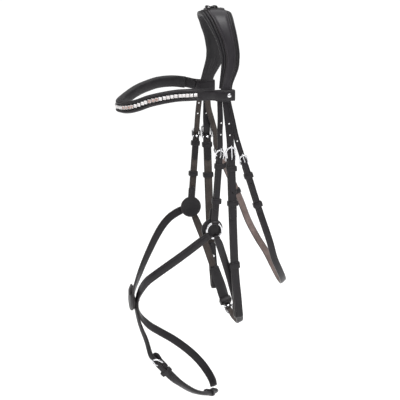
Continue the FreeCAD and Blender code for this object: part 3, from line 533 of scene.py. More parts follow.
def bar_fold(name, place, width, body, low=0.0):
    """The end of a strap passed round a buckle bar, in two halves beside the slot."""
    half = (width - CREW_SLOT) / 2
    turn = BAR_RADIUS + SKIVED / 2
    for side in (-1, 1):
        x = side * (CREW_SLOT + half) / 2
        path = [(-9, THICK - SKIVED / 2, 0, 1), (-4.5, THICK - SKIVED / 2, 0, 1)]
        path += [(turn * math.sin(a), BAR_LIFT + turn * math.cos(a), math.sin(a), math.cos(a))
                 for a in (math.pi * k / 8 for k in range(9))]
        path += [(-4.5, low + SKIVED / 2 - 0.3, 0, -1), (-9, low + SKIVED / 2, 0, -1)]
        stations = [(along(place, y, z, x), place.to_3x3() @ Vector((0, ny, nz)), half)
                    for y, z, ny, nz in path]
        sweep(name + ("_left" if side < 0 else "_right"), stations,
              strap_outline(SKIVED, 0.0, 1.0, 0.0), STRAP, body)


def turned_back(name, place, width, body):
    """The end of a strap sewn down behind it, grain side towards the horse."""
    inwards = -facing(place)
    line = [(along(place, -y, -0.25), inwards, width) for y in (6, 16, TURNED_REACH - 4)]
    return sweep(name, rounded_tip(smooth(line, 4), width, 4.0), strap_outline(1.0, 0.1, 1.4, 0.2),
                 STRAP, body)


RING_RADIUS = 11.0


def ring_fold(name, centre, angle, width, body):
    """A fold of leather round a stretch of a ring's wire, bent as the ring is."""
    points, faces, skins, sides, runs = [], [], [], 16, 6
    for reach in (3.5, 1.9):
        for i in range(runs + 1):
            turn = angle + (i / runs - 0.5) * width / RING_RADIUS
            radial = Vector((math.cos(turn), 0, math.sin(turn)))
            grow = reach - (0.45 if reach > 2 and i in (0, runs) else 0)
            points += [centre + radial * (RING_RADIUS + x) + Y * y for x, y in circle(grow, sides)]
    half = (runs + 1) * sides
    for first, finish in ((0, GRAIN), (half, EDGE)):
        for i in range(runs):
            faces += quads(first + i * sides, first + (i + 1) * sides, sides)
            skins += [finish] * sides
    for i in (0, runs):
        faces += quads(i * sides, half + i * sides, sides)
        skins += [EDGE] * sides
    return make_piece(name, points, faces, skins, STRAP, body)


KEEPER_WALL = 1.3


def keeper(name, place, y, across, low, high, long, body, wall=KEEPER_WALL):
    """A leather loop round a strap; across, low and high are its inside sizes."""
    corner, steps, rim = 1.5, 4, []
    half_x, half_z = (across + wall) / 2, (high - low + wall) / 2
    for quarter, (sx, sz) in enumerate(((1, 1), (-1, 1), (-1, -1), (1, -1))):
        spot = Vector((sx * (half_x - corner), y, sz * (half_z - corner) + (high + low) / 2))
        for k in range(steps + 1):
            a = math.pi / 2 * (quarter + k / steps)
            out = Vector((math.cos(a), 0, math.sin(a)))
            rim.append((place @ (spot + out * corner), place.to_3x3() @ out, long))
    return sweep(name, rim, strap_outline(wall, 0.1, 1.2, 0.2), STRAP, body, closed=True)


print("punch, folds and keepers ready")

# %% [markdown]
# ## Plates and turned pieces
# Pads and tabs cut from sheet are plates: an outline drawn several times, each a
# little further in and at its own height, which gives rolled rims, pressed creases
# and domes. A stud or rivet is turned on a lathe, so its profile goes round an axis.

# %% Plate and lathe
def plate(name, place, outline, profile, materials, body):
    """Rings of one outline; the profile is (inset, height, finish) from back to front."""
    points, faces, skins = [], [], []
    for inset, height, _ in profile:
        points += [place @ Vector((x, y, height)) for x, y in outline(inset)]
    size = len(outline(0))
    for i, (_, _, finish) in enumerate(profile[1:]):
        faces += quads(i * size, (i + 1) * size, size)
        skins += [finish] * size
    faces += lids(0, len(points) - size, size)
    skins += [profile[0][2], profile[-1][2]]
    return make_piece(name, points, faces, skins, materials, body)


def keyhole(radius, half_width, top):
    """Outline of a disc with a round-ended tongue on top, which can be drawn inset."""
    steps = 40

    def outline(inset):
        r, h = radius - inset, half_width - inset
        start = math.acos(h / r)
        turn = 2 * (math.pi - (math.pi / 2 - start))
        points = [(r * math.cos(start - turn * k / steps), r * math.sin(start - turn * k / steps))
                  for k in range(steps + 1)]
        return points + [(-h * math.cos(math.pi * k / 10), top - half_width
                          + h * math.sin(math.pi * k / 10)) for k in range(11)]
    return outline


def turned(name, place, profile, body):
    """A piece of steel turned on a lathe, from (radius, height) pairs, back to front."""
    return plate(name, place, lambda radius: circle(radius, 24), [(r, z, 0) for r, z in profile],
                 [polished_steel], body)


print("plate and lathe ready")

# %% [markdown]
# ## Where the buckles sit
# These places repeat the CAD's: each side has three buckle bars, for the noseband,
# the cheekpiece and the throatlash, and each strap leans by its own slope.

# %% Buckle frames and billet lines
SIDE_PLANE, BILLET_THICK = 58.5, 2.2
STRAP_MIDDLE, BILLET_LOW, BILLET_HIGH = 1.5, 1.1, 4.75
STACK = BILLET_HIGH + BILLET_THICK / 2
HOLE_HEIGHT, RUNNING_GAP = 1.5, 0.35
SMALL_BUCKLE, CHEEK_BUCKLE = 12.5, 19.0   # how far a buckle stands above its bar
NARROW, NARROW_FOLD, TIP_REACH = 8.0, 8.4, 4.0
CHEEK_FLEX, LASH_FLEX, LASH_INSET = CHEEK_BUCKLE + 10, SMALL_BUCKLE + 4, 3.6
RING_OUT = SIDE_PLANE + 2.6


def side_frame(side, x, z, lean, inset=0.0):
    return make_frame((x, side * (SIDE_PLANE - inset), z), (-lean, 0, 1), (0, side, 0))


nose_frames = {NEAR: side_frame(NEAR, -12.2, -202.5, -0.0705),
               FAR: side_frame(FAR, -13.9, -191.5, -0.0734)}
cheek_frames = {NEAR: side_frame(NEAR, 4.8, -206.0, 0.0403),
                FAR: side_frame(FAR, 2.8, -193.5, 0.036)}
lash_frames = {NEAR: side_frame(NEAR, 25.6, -212.0, 0.325, LASH_INSET),
               FAR: side_frame(FAR, 22.0, -219.6, 0.44, LASH_INSET)}
ring_centres = {NEAR: Vector((-19.3, -RING_OUT, -306.0)), FAR: Vector((-21.5, RING_OUT, -298.5))}


def billet_line(place, height, width, tip, top):
    """A billet from above its buckle, over the bar and down to its rounded tip."""
    line = [(top, BILLET_LOW), (height - 3.5, BILLET_LOW + 0.2), (5.5, 3.8), (1.5, 4.6),
            (-4, BILLET_HIGH), (-tip / 2, BILLET_HIGH), (-tip + 4, BILLET_HIGH)]
    return rows_on(place, [(y, z, width) for y, z in line])


def buckled_keepers(name, place, across, fixed_at, sliding_at, body, low=0.0):
    """The fixed keeper of one buckled joint, and its sliding keeper if it has one."""
    fixed = keeper(name + "_fixed_loop", place, -fixed_at, across + 0.2, low - 0.1,
                   STACK + 0.1, 7.0, body)
    if sliding_at:
        sliding = keeper(name + "_sliding_loop", place, -sliding_at, across + 2 * RUNNING_GAP,
                         low - RUNNING_GAP, STACK + RUNNING_GAP, 7.0, name + "_sliding_keeper")
        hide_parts(name + "_sliding_keeper")
    return fixed


print("bars at", [tuple(round(c) for c in place.translation) for place in nose_frames.values()])

# %% [markdown]
# ## Metal
# Buckles, prongs and rings keep their CAD solids, because their round wire is already
# the right shape. They only need a polished surface.

# %% Steel on the CAD nodes
steel_nodes = ["throat_buckles", "chin_buckle", "jaw_buckle", "chin_prong", "jaw_prong"]
for name in SIDES.values():
    steel_nodes += [name + "_" + part for part in
                    ("noseband_buckle", "cheek_buckle", "noseband_prong", "cheek_prong",
                     "throat_prong", "ring")]
for name in steel_nodes:
    node = frame["nodes"][name]
    node.data.materials.clear()
    node.data.materials.append(polished_steel)
print("steel nodes", len(steel_nodes))

# %% [markdown]
# ## Crown
# The headpiece lies over the poll: a wide leather panel, stitched to a soft pad whose
# two rolled ribs stand up along each side. It narrows down to the browband. The panel
# is one sweep and the pad another, and each station also carries how wide the rims
# are, so that the ribs fade out as the crown narrows.

# %% Crown lines
# |Y|, Z, front X, rear X, width of the rim outside the panel, and how full the pad is.
CROWN = [(0, -1.5, -24, 17, 8, 1), (10, -2, -24, 17.5, 8, 1), (18, -4.5, -23.5, 18, 8, 1),
         (25, -11, -20, 18.5, 7.8, 1), (31, -22, -15.5, 19.5, 7.4, 1),
         (36, -37, -9.5, 21.5, 7, 1), (40.5, -56, -5, 23.3, 6.6, 1), (43, -66, -4, 22.6, 6.2, 1),
         (45, -77, -4.5, 20.5, 5.6, 1), (49.5, -96, -8, 11.5, 4, 0.6),
         (52, -107, -10, 8.8, 2.2, 0.1), (53, -116, -12, 7.5, 0.6, 0), (53, -124, -13.6, 6.3, 0, 0)]
CROWN_THICK, CROWN_PAD_THICK, PAD_ROWS = 3.0, 6.0, 11
SEAM_INSET = 2.2


def crown_line(rows, sink):
    """Stations over the poll, near side to far side: middle, outward, width, rim, fill."""
    half = []
    for i, (y, z, front, rear, *shape) in enumerate(CROWN[:rows]):
        low, high = CROWN[max(i - 1, 0)], CROWN[min(i + 1, len(CROWN) - 1)]
        normal = Vector((0, low[1] - high[1], high[0] - low[0])).normalized() if i else Z
        middle = Vector(((front + rear) / 2, y, z)) - normal * sink
        half.append((middle, normal, rear - front, *shape))
    return both_sides(half)


def crown_pad_outline(width, rim, full):
    """A cushioned base with soft folds inside and two rolled ribs along each side."""
    h, r = width / 2, max(rim, 0.8) / 4
    right = [(h * 0.14, -3.9, FLESH), (h * 0.28, -3.2, FLESH), (h * 0.44, -4.0, FLESH),
             (h * 0.58, -3.1, FLESH), (h * 0.74, -3.5, FLESH), (h * 0.88, -2.6, FLESH),
             (h - 0.3, -1.0, FLESH), (h, 0.6, GRAIN)]
    for centre, lift, grow, turns in ((h - r, 1.4, 1.0, (-40, -5, 30, 60, 90, 120, 150)),
                                      (h - 3 * r, 2.9, 0.95, (20, 50, 80, 110, 140, 175))):
        right += [(centre + r * math.cos(a), lift + grow * r * math.sin(a) + 0.5, GRAIN)
                  for a in map(math.radians, turns)]
    right.append((h - 4.15 * r, 2.2, GRAIN))
    shape = mirrored((0, -3.1, FLESH), right, (0, 3.0, GRAIN))
    return [(x, 3 + (z - 3) * (0.35 + 0.65 * full), finish) for x, z, finish in shape]


def crown_panel_outline(width, rim, full):
    return strap_outline(CROWN_THICK, 0.3 + 0.6 * full, SEAM_INSET, 0.5)(width - 2 * rim)


pad_sink = (CROWN_THICK + CROWN_PAD_THICK) / 2 + 0.35
crown_pad = sweep("crown_pad", smooth(crown_line(PAD_ROWS, pad_sink), 5), crown_pad_outline,
                  [padding_leather, edge_leather, padding_leather], "headpiece")
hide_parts("headpiece_pad")
# The panel's leather is lightened as a painted highlight for the light on the top of the head.
crown_panel = sweep("crown_panel", smooth(crown_line(len(CROWN), 0), 5), crown_panel_outline,
                    [crown_leather_painted_highlight, edge_leather, bridle_leather], "headpiece")
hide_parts("headpiece_strap")


def beside_panel(inset, height):
    """Offsets of two rows, inside the panel's edges or out on the rims."""
    return lambda width, rim, full: [(side * (width / 2 - rim - inset), height) for side in (-1, 1)]


crown_seams = smooth(crown_line(PAD_ROWS, 0), 5)
stitch_rows("crown_panel_stitches", crown_seams, beside_panel(SEAM_INSET, 1.45), "headpiece")
print("crown", len(crown_panel.data.vertices), "points")

# %% [markdown]
# ## Cap and keeper on the poll
# A smooth cap crosses the panel at the top, its two curved edges stitched down. On it
# sits a flat leather loop, pressed in at the middle, so that its two folds stand up.

# %% Cap and keeper
CAP_THICK = 1.3
cap_line = smooth([(Vector((x, 0, 0.25)), Z, width)
                   for x, width in ((-16.5, 17), (-11, 19.5), (-3.5, 21), (4, 19.5), (9.5, 17))], 4)
# The cap shares the crown's leather, lightened as a painted highlight.
sweep("poll_cap", cap_line, strap_outline(CAP_THICK, 0.5, 1.6, 0.2),
      [crown_leather_painted_highlight, edge_leather, bridle_leather], "headpiece")
stitch_rows("poll_cap_stitches", cap_line, in_creases(1.6, 0.75), "headpiece")
LOOP_PATH = [(7.0, 0.9), (7.6, 2.4), (6.4, 3.9), (4.6, 3.9), (2.6, 2.9), (0, 2.5), (-2.6, 2.9),
             (-4.6, 3.9), (-6.4, 3.9), (-7.6, 2.4), (-7.0, 0.9), (0, 0.8)]
poll_frame = make_frame((-7.5, 0, 0.6), Y, Z)
poll_rim = [(along(poll_frame, 0, z, x), poll_frame.to_3x3() @ Vector((x / 7, 0, z - 2.2)), 11.0)
            for x, z in LOOP_PATH]
poll_loop = sweep("poll_loop", poll_rim, strap_outline(1.2, 0.1, 1.2, 0.2), STRAP, "headpiece",
                  closed=True)
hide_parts("poll_keeper")
print("poll cap and keeper made")

# %% [markdown]
# ## Browband
# Two rolled edges run along the band's face with a channel between them, and the
# channel holds the row of stones. Towards each end the rolls flatten into a plain
# loop, which the headpiece runs through. Each station carries a share from 0, flat,
# to 1, fully rolled, so one outline does both.

# %% Band
BAND = [(11, 58.1, -115, 0), (-5, 58.3, -114.7, 0), (-17.3, 60.3, -113.5, 0),
        (-28, 67, -111.5, 0.1), (-44, 72, -110, 0.6),
        (-60, 72, -110, 1), (-75, 67.5, -111, 1), (-88, 61.5, -113.5, 1),
        (-100, 55.5, -116.5, 1), (-112, 48, -120.5, 1), (-124, 40, -126, 1),
        (-134, 30, -130, 1), (-141, 17, -132, 1), (-144.5, 0, -132.5, 1)]
BAND_THICK, BAND_WIDTH, BAND_PAD_THICK, BAND_PAD_WIDTH = 2.6, 15.0, 5.0, 17.0


def band_line(outset, width):
    """Stations of the band from the near loop round the front to the far loop."""
    half = []
    for i, (x, y, z, roll) in enumerate(BAND):
        before = BAND[max(i - 1, 0)]
        after = BAND[i + 1] if i + 1 < len(BAND) else (x, -BAND[i - 1][1], z)
        normal = Vector((after[1] - before[1], before[0] - after[0], 0)).normalized()
        if i + 1 == len(BAND):
            normal = -X
        half.append((Vector((x, y, z)) + normal * outset, normal, width, roll))
    return both_sides(half[::-1])


def band_outline(width, roll):
    """Flat at roll 0; at 1, two rolled edges with a channel between them."""
    h, t, r = width / 2, BAND_THICK / 2, 0.7 + 1.1 * roll
    right = [(h * 0.5, -t, FLESH), (h - 0.8, -t, EDGE), (h, -t + 0.6, EDGE)]
    right += [(h - r + r * math.cos(a), t - r * (1 - 0.75 * roll) + r * math.sin(a) + 0.1, GRAIN)
              for a in map(math.radians, (-10, 25, 60, 90, 120, 150))]
    right += [(h - 2.3 * r, t - 0.25 * roll, GRAIN), (h * 0.3, t + 0.3 * (1 - roll), GRAIN)]
    return mirrored((0, -t, FLESH), right, (0, t + 0.35 * (1 - roll), GRAIN))


def band_pad_outline(width, roll):
    """The lining: a long cushion with a welt just above and below the band."""
    h = width / 2
    right = [(h * 0.5, -2.5 * roll - 0.3, FLESH), (h - 2.2, -1.7 * roll - 0.2, FLESH),
             (h - 0.6, -0.6, FLESH), (h - 0.1, 0.6, FLESH), (h, 1.6, GRAIN), (h - 0.4, 2.6, GRAIN),
             (h - 1.4, 2.9, GRAIN), (h - 2.2, 2.5, GRAIN)]
    return mirrored((0, -2.7 * roll - 0.3, FLESH), right, (0, 2.5, GRAIN))


band = sweep("browband_face", smooth(band_line(-BAND_THICK / 2, BAND_WIDTH), 6), band_outline,
             LINED, "browband")
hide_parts("browband")
band_sink = BAND_THICK + BAND_PAD_THICK / 2 + 0.02
lining = sweep("browband_lining", smooth(band_line(-band_sink, BAND_PAD_WIDTH)[3:-3], 6),
               band_pad_outline, [padding_leather, edge_leather, padding_leather], "browband")
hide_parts("browband_pad")
LOOP_ROOM, LOOP_WALL = (24.6, 6.2), 1.8
for side, name in SIDES.items():
    place = make_frame((-2.1, side * 52.4, -115), Z, (0, side, 0))
    loop = keeper(name + "_end_loop", place, 0, LOOP_ROOM[0], -LOOP_ROOM[1] / 2,
                  LOOP_ROOM[1] / 2, BAND_WIDTH, "browband", LOOP_WALL)
    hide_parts("browband_loops")
stud_seat = make_frame((2.5, -58.4, -114.8), Z, -Y)
turned("near_loop_stud", stud_seat, [(2.6, -0.6), (3.0, 0.1), (2.9, 0.7), (2.2, 1.2), (1.0, 1.45)],
       "browband")
print("browband made")

# %% [markdown]
# ## Clincher row
# A clincher is a strip of square cups, each holding a cut stone. A stone has a flat
# table and four sloping facets, which break the light into bright and dark, so the
# facets are real faces. A few stones near the front have a rose foil behind them:
# each face carries its tint as an attribute, which the glass finish reads.

# %% Cups and stones
STONE_PITCH, CUP, STONE, CUP_HIGH = 5.5, 4.9, 4.3, 2.0
ROSE_ROWS = ((0.19, 0.25), (0.33, 0.42))  # shares of the row with rose foil
cup_points, cup_faces, stone_points, stone_faces, tints = [], [], [], [], []
stone_line = smooth(band_line(CUP_HIGH / 2 + 0.4, 1)[4:-4], 16)
seats, travelled = [], 0.0
for (start, *_), (end, outward, *_) in zip(stone_line, stone_line[1:]):
    travelled += (end - start).length
    if travelled >= STONE_PITCH:
        travelled -= STONE_PITCH
        seats.append(make_frame(end, Z, outward))


def square(place, half, height):
    return [place @ Vector((sx * half, sy * half, height))
            for sx, sy in ((1, 1), (-1, 1), (-1, -1), (1, -1))]


def stack_rings(points, faces, rings):
    """Add square rings joined from back to front, closed at both ends."""
    base = len(points)
    for ring in rings:
        points += ring
    for i in range(len(rings) - 1):
        faces += quads(base + 4 * i, base + 4 * i + 4, 4)
    faces += lids(base, len(points) - 4, 4)


for i, place in enumerate(seats):
    stack_rings(cup_points, cup_faces,
                [square(place, CUP / 2, -1.0), square(place, CUP / 2, 0.5),
                 square(place, CUP / 2 - 0.2, 0.75), square(place, CUP / 2 - 0.45, 0.75),
                 square(place, CUP / 2 - 0.55, -0.2)])
    stack_rings(stone_points, stone_faces,
                [square(place, STONE / 2 - 0.3, -0.15), square(place, STONE / 2 - 0.12, 0.5),
                 square(place, STONE / 2 - 0.95, 1.25)])
    rose = any(start < i / len(seats) < end for start, end in ROSE_ROWS)
    tints += [(0.85 if rose else 0.12) + 0.15 * math.sin(2.4 * i + k) for k in range(10)]
cups = make_piece("clincher_cups", cup_points, cup_faces, [0] * len(cup_faces), [plated_cup],
                  "browband")
stones = make_piece("clincher_cut_stones", stone_points, stone_faces, [0] * len(stone_faces),
                    [cut_glass], "browband")
for piece in (cups, stones):
    piece.data.shade_flat()
stones.data.attributes.new("tint", "FLOAT", "FACE").data.foreach_set("value", tints)
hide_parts("clincher_settings")
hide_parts("clincher_stones")
print("stones", len(seats))

# %% [markdown]
# ## Billets
# Below the browband the headpiece is split into three billets on each side, punched
# and pointed. The noseband's billet belongs to the headpiece all the way. The cheek
# and throat billets sit where a joint lets the strap below swing; each is one piece of
# leather, drawn as it lies now and carried by no body, that follows the headpiece above
# and the lower strap below.

# %% Three billets a side
# X, Z, |Y| and width from under the browband down.
NOSE_BILLET_TOP = [(-9.6, -108, 52.8, 6.6), (-9.9, -121, 53, 7.2), (-9.8, -146, 56.3, 8.0),
                   (-11.2, -166, 59.2, 8.0)]
CHEEK_BILLET_TOP = [(-2.2, -108, 52.8, 7.4), (-2.2, -121, 53, 7.6), (0.9, -148, 56.6, 9.8)]
LASH_BILLET_TOP = {
    NEAR: [(3.6, -108, 52.4, 4.4), (3.8, -121, 52.6, 4.6), (8.6, -150, 54.4, 7.4),
           (13.6, -174, 55.4, 8.0)],
    FAR: [(1.8, -108, 52.4, 8.2), (1.8, -121, 52.6, 8.4), (2.4, -146, 53.8, 9.2),
          (7.3, -164, 54.6, 8.8), (11.4, -177, 55.4, 8.4), (14.5, -189, 56.0, 7.6)],
}
billet_outline = strap_outline(BILLET_THICK, 0.2, 1.3, 0.25)


def billet(name, side, top_rows, place, height, width, tip, top, holes, finishes=STRAP):
    """One punched billet from the browband's loop to its tip."""
    upper = [(Vector((x, side * y, z)), Vector((0, side, 0)), w) for x, z, y, w in top_rows]
    line = smooth(upper + billet_line(place, height, width, tip, top), 4)
    piece = sweep(name, rounded_tip(line, width, TIP_REACH), billet_outline, finishes)
    return punch(piece, [along(place, h, 3.0) for h in holes], facing(place))


for side, name in SIDES.items():
    rise = 0 if side == NEAR else 11
    lifted = [[(x, z + (rise if i > 1 else 0), y, w) for i, (x, z, y, w) in enumerate(rows)]
              for rows in (NOSE_BILLET_TOP, CHEEK_BILLET_TOP)]
    nose = billet(name + "_noseband_billet", side, lifted[0], nose_frames[side],
                  SMALL_BUCKLE, NARROW, 74.0, SMALL_BUCKLE + 6,
                  [HOLE_HEIGHT, HOLE_HEIGHT + 32, HOLE_HEIGHT + 48])
    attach(nose, "headpiece")
    place = cheek_frames[side]
    cheek = billet(name + "_cheek_strap_billet", side, lifted[1], place, CHEEK_BUCKLE,
                   10.5, 85.0 if side == NEAR else 84.0, CHEEK_FLEX,
                   [HOLE_HEIGHT, HOLE_HEIGHT - 48, HOLE_HEIGHT + 34, HOLE_HEIGHT + 50], LINED)
    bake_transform(cheek)
    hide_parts(name + "_cheek_billet")
    place = lash_frames[side]
    lash = billet(name + "_throat_billet", side, LASH_BILLET_TOP[side], place,
                  SMALL_BUCKLE, NARROW, 76.0, LASH_FLEX,
                  [HOLE_HEIGHT, HOLE_HEIGHT - 32, HOLE_HEIGHT + 32])
    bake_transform(lash)
    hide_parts("throat_billets")
print("billets made")

# %% [markdown]
# ## Noseband hangers and ring pads
# A short doubled strap hangs from the noseband billet's buckle and folds round the
# top of a ring. Behind each ring lies a keyhole-shaped pad that keeps the metal off
# the horse's face.

# %% Hangers, rings' pads and keepers
HANGER_WIDTH = 10.0
SEWN = (1.7, 1.35)                     # where the stitches lie: inset, height
doubled = strap_outline(THICK, 0.35, SEWN[0], 0.35)
pad_shape = keyhole(15.5, 5.0, 31.5)
PAD_PROFILE = [(2.6, 0.25, 0), (2.1, 0.0, 0), (1.6, 0.3, 0), (0.7, 0.1, 1), (0.0, 0.9, 1),
               (0.0, 2.5, 1), (0.7, 3.3, 0), (1.6, 3.4, 0), (2.1, 3.0, 0), (2.6, 3.4, 0),
               (3.4, 3.5, 0)]
for side, name in SIDES.items():
    place, centre, out = nose_frames[side], ring_centres[side], Vector((0, side, 0))
    top_of_ring = centre + Vector((0.9, 0, RING_RADIUS - 0.6))
    lower = Vector((top_of_ring.x + 0.2, side * (SIDE_PLANE + STRAP_MIDDLE), top_of_ring.z + 8))
    line = [(along(place, -4, STRAP_MIDDLE), out, HANGER_WIDTH), (lower, out, HANGER_WIDTH),
            (top_of_ring + Vector((0, -side * 1.1, 2.4)), out, HANGER_WIDTH)]
    line = smooth(line, 10)
    hanger = sweep(name + "_hanger_strap", line, doubled, STRAP, "headpiece")
    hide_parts(name + "_noseband_hanger")
    stitch_rows(name + "_hanger_stitches", line[1:-1], in_creases(*SEWN), "headpiece")
    bar_fold(name + "_hanger_fold", place, NARROW_FOLD, "headpiece")
    turned_back(name + "_hanger_end", place, HANGER_WIDTH - 0.8, "headpiece")
    ring_fold(name + "_hanger_ring_fold", centre, math.radians(86), HANGER_WIDTH - 0.6,
              "headpiece")
    fixed = buckled_keepers(name + "_noseband", place, HANGER_WIDTH, 11.0,
                            61.0 if side == NEAR else 57.0, "headpiece")
    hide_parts("noseband_fixed_keepers")
    pad_place = make_frame((centre.x - 1.8, side * (SIDE_PLANE - 4.7), centre.z + 0.8),
                           (0.06, 0, 1), out)
    pad = plate(name + "_ring_pad", pad_place, pad_shape, PAD_PROFILE,
                [padding_leather, edge_leather], "headpiece")
    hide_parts("ring_pads")
print("hangers and ring pads made")

# %% [markdown]
# ## Cheekpieces
# A cheekpiece is one long strap: down the cheek, round the bit's ring at the bottom,
# and up inside again, where a hook stud on its inner end holds it shut. One sweep
# follows the whole way, round the fold and back up.

# %% Cheekpieces
CHEEK_WIDTH, FOLD_GAP, STUD_AT = 12.0, 4.6, 46.0
INNER_MIDDLE = STRAP_MIDDLE - THICK - FOLD_GAP
CLOSED_MIDDLE = STRAP_MIDDLE - THICK - 0.1
CHEEK_BEND = {NEAR: (10.6, -350), FAR: (8.0, -338)}
CHEEK_FOLD = {NEAR: (18.2, -434.0), FAR: (14.5, -421.5)}
for side, name in SIDES.items():
    place, out, body = cheek_frames[side], Vector((0, side, 0)), name + "_cheek"
    bend_x, bend_z = CHEEK_BEND[side]
    fold_x, fold_z = CHEEK_FOLD[side]
    end = Vector((fold_x - bend_x, 0, fold_z - bend_z)).normalized()

    def lower_point(drop, lift):
        """A point on the lower end, a distance above the fold."""
        return Vector((fold_x, side * (SIDE_PLANE + lift), fold_z)) - end * drop

    down = [(along(place, -4, STRAP_MIDDLE), out, CHEEK_WIDTH),
            (Vector((bend_x, side * (SIDE_PLANE + STRAP_MIDDLE), bend_z)), out, CHEEK_WIDTH),
            (lower_point(24, STRAP_MIDDLE), out, CHEEK_WIDTH),
            (lower_point(0, STRAP_MIDDLE), out, CHEEK_WIDTH)]
    centre, turn = lower_point(0, (STRAP_MIDDLE + INNER_MIDDLE) / 2), (THICK + FOLD_GAP) / 2
    around = [(centre + out * turn * math.cos(a) + end * turn * math.sin(a),
               out * math.cos(a) + end * math.sin(a), CHEEK_WIDTH)
              for a in (math.pi * k / 10 for k in range(1, 10))]
    back = [(lower_point(drop, lift), -out, CHEEK_WIDTH)
            for drop, lift in ((0, INNER_MIDDLE), (20, INNER_MIDDLE), (27, -3.9),
                               (34, CLOSED_MIDDLE), (62, CLOSED_MIDDLE))]
    down = smooth(down, 10)
    line = down + around + rounded_tip(smooth(back, 4), CHEEK_WIDTH, 5.0)
    strap = sweep(name + "_cheek_strap", line, doubled, STRAP, body)
    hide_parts(name + "_cheekpiece")
    stitch_rows(name + "_cheek_stitches", down[1:-3], in_creases(*SEWN), body)
    bar_fold(name + "_cheek_fold", place, 10.9, body)
    turned_back(name + "_cheek_end", place, CHEEK_WIDTH - 0.8, body)
    fixed = buckled_keepers(name + "_cheek", place, CHEEK_WIDTH, 12.0,
                            62.0 if side == NEAR else 58.0, body)
    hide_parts(name + "_cheek_fixed_keeper")
    stud_place = make_frame(lower_point(STUD_AT, -THICK - 0.1), -end, -out)
    stud = turned(name + "_turned_stud", stud_place,
                  [(1.3, -2.9), (1.3, 0.3), (1.9, 0.45), (2.6, 0.9), (2.5, 1.35), (1.9, 1.65),
                   (0.8, 1.75)], body)
    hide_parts(name + "_hook_stud")
    bit_loop = keeper(name + "_bit_loop", make_frame(lower_point(75, 0), -end, out), 0,
                      CHEEK_WIDTH + 0.1, -0.05, THICK + 0.35, 9.0, body)
    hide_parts(name + "_bit_keeper")
print("cheekpieces made, fold turn", turn, "mm")

# %% [markdown]
# ## Throatlash
# One strap from the near buckle, under the throat, to the far buckle. Its flesh side
# is pale and faces inwards, so it shows on the far side, across the gap.

# %% Throatlash
LASH = [(63.0, -59.5, -326, 0, -1, 0), (72.5, -55, -355, 0.12, -1, -0.1),
        (85.0, -43, -378, 0.35, -0.85, -0.45), (96.0, -25, -396, 0.55, -0.5, -0.7),
        (101.5, -5, -405, 0.65, 0, -0.8), (102.5, 15, -403, 0.6, 0.45, -0.7),
        (100.0, 34, -392, 0.4, 0.8, -0.5), (93.0, 49, -373, 0.15, 0.97, -0.2),
        (82.0, 58, -353, 0.02, 1, 0), (68.0, 60, -326, 0, 1, 0)]
LASH_WIDTH = 10.0
ends = {side: rows_on(lash_frames[side], [(y, STRAP_MIDDLE, LASH_WIDTH) for y in (-4, -30, last)])
        for side, last in ((NEAR, -72), (FAR, -78))}
lash_line = smooth(ends[NEAR] + route([row + (LASH_WIDTH,) for row in LASH]) + ends[FAR][::-1], 6)
throat_strap = sweep("throatlash_strap", lash_line, doubled,
                     [bridle_leather, edge_leather, pale_flesh_leather], "throatlash")
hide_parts("throatlash")
stitch_rows("throatlash_stitches", lash_line[1:-1], in_creases(*SEWN), "throatlash")
for side, name in SIDES.items():
    bar_fold(name + "_throat_fold", lash_frames[side], NARROW_FOLD, "throatlash")
    fixed = buckled_keepers(name + "_throat", lash_frames[side], LASH_WIDTH, 19.0, 64.0,
                            "throatlash")
    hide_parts("throat_fixed_keepers")
print("throatlash made, points", len(lash_line))

# %% [markdown]
# ## Crossed nose straps
# Two raised straps run from the rings, cross on the nose under a round pad, and meet
# again at the chin. The pad is domed, with a bound rim and a riveted tab.

# %% Nose straps
NEAR_NOSE = [(-40.5, -60.7, -322.0, 0, -1, 0, 12), (-58.8, -59, -335.5, -0.15, -1, 0, 12),
             (-75.7, -55, -348.5, -0.35, -0.94, 0, 12), (-91.2, -47.8, -361.6, -0.55, -0.83, 0, 12),
             (-101.5, -40.8, -371.5, -0.7, -0.71, 0, 12), (-110, -31, -382, -0.83, -0.55, 0, 12),
             (-115.4, -21, -394, -0.93, -0.36, 0, 12), (-118.0, -9, -407, -0.99, -0.12, 0, 11),
             (-118.6, 0, -418, -1, 0, 0, 11), (-117.0, 6, -432, -0.97, 0.15, -0.15, 11),
             (-111.4, 11, -447.5, -0.85, 0.4, -0.35, 11), (-97, 19, -465, -0.55, 0.72, -0.42, 12),
             (-79.5, 28, -479, -0.3, 0.85, -0.44, 12), (-53.8, 37, -498, -0.1, 0.9, -0.42, 12),
             (-29, 41, -519.5, 0.1, 0.9, -0.42, 12), (-11.7, 40, -538.6, 0.3, 0.85, -0.42, 12),
             (-1.5, 36, -554, 0.5, 0.78, -0.4, 12), (3.4, 30, -564.5, 0.65, 0.7, -0.35, 12),
             (3.8, 23, -571, 0.6, 0.45, -0.6, 11)]
FAR_NOSE = [(-39.5, 60.7, -304.3, 0, 1, 0, 12), (-53.4, 60, -312, -0.1, 1, 0, 12),
            (-65.3, 58, -323.2, -0.2, 0.98, 0, 12), (-76.2, 54.8, -338.3, -0.35, 0.94, 0, 12),
            (-87.1, 50, -356.2, -0.5, 0.87, 0, 12), (-96.8, 44, -372.4, -0.62, 0.78, 0, 12),
            (-107, 35, -389.4, -0.76, 0.65, 0, 12), (-117, 21, -404, -0.93, 0.36, 0, 11),
            (-122.6, 8, -413, -0.99, 0.1, 0, 10), (-123.2, 0, -419, -1, 0, 0, 9),
            (-122.0, -5, -430, -0.98, -0.15, -0.15, 9), (-119.0, -10, -446.6, -0.93, -0.3, -0.2, 9),
            (-116.0, -15, -458.2, -0.88, -0.42, -0.2, 9),
            (-110.6, -22, -474, -0.78, -0.58, -0.22, 9)]
NOSE_EYE, NOSE_THIN, NOSE_RISE = 10.5, 3.2, 1.1
RAISED_SEWN = (2.2, 1.6)               # inset and height of the stitches
NOSE_ANGLE = {NEAR: math.radians(218), FAR: math.radians(200)}
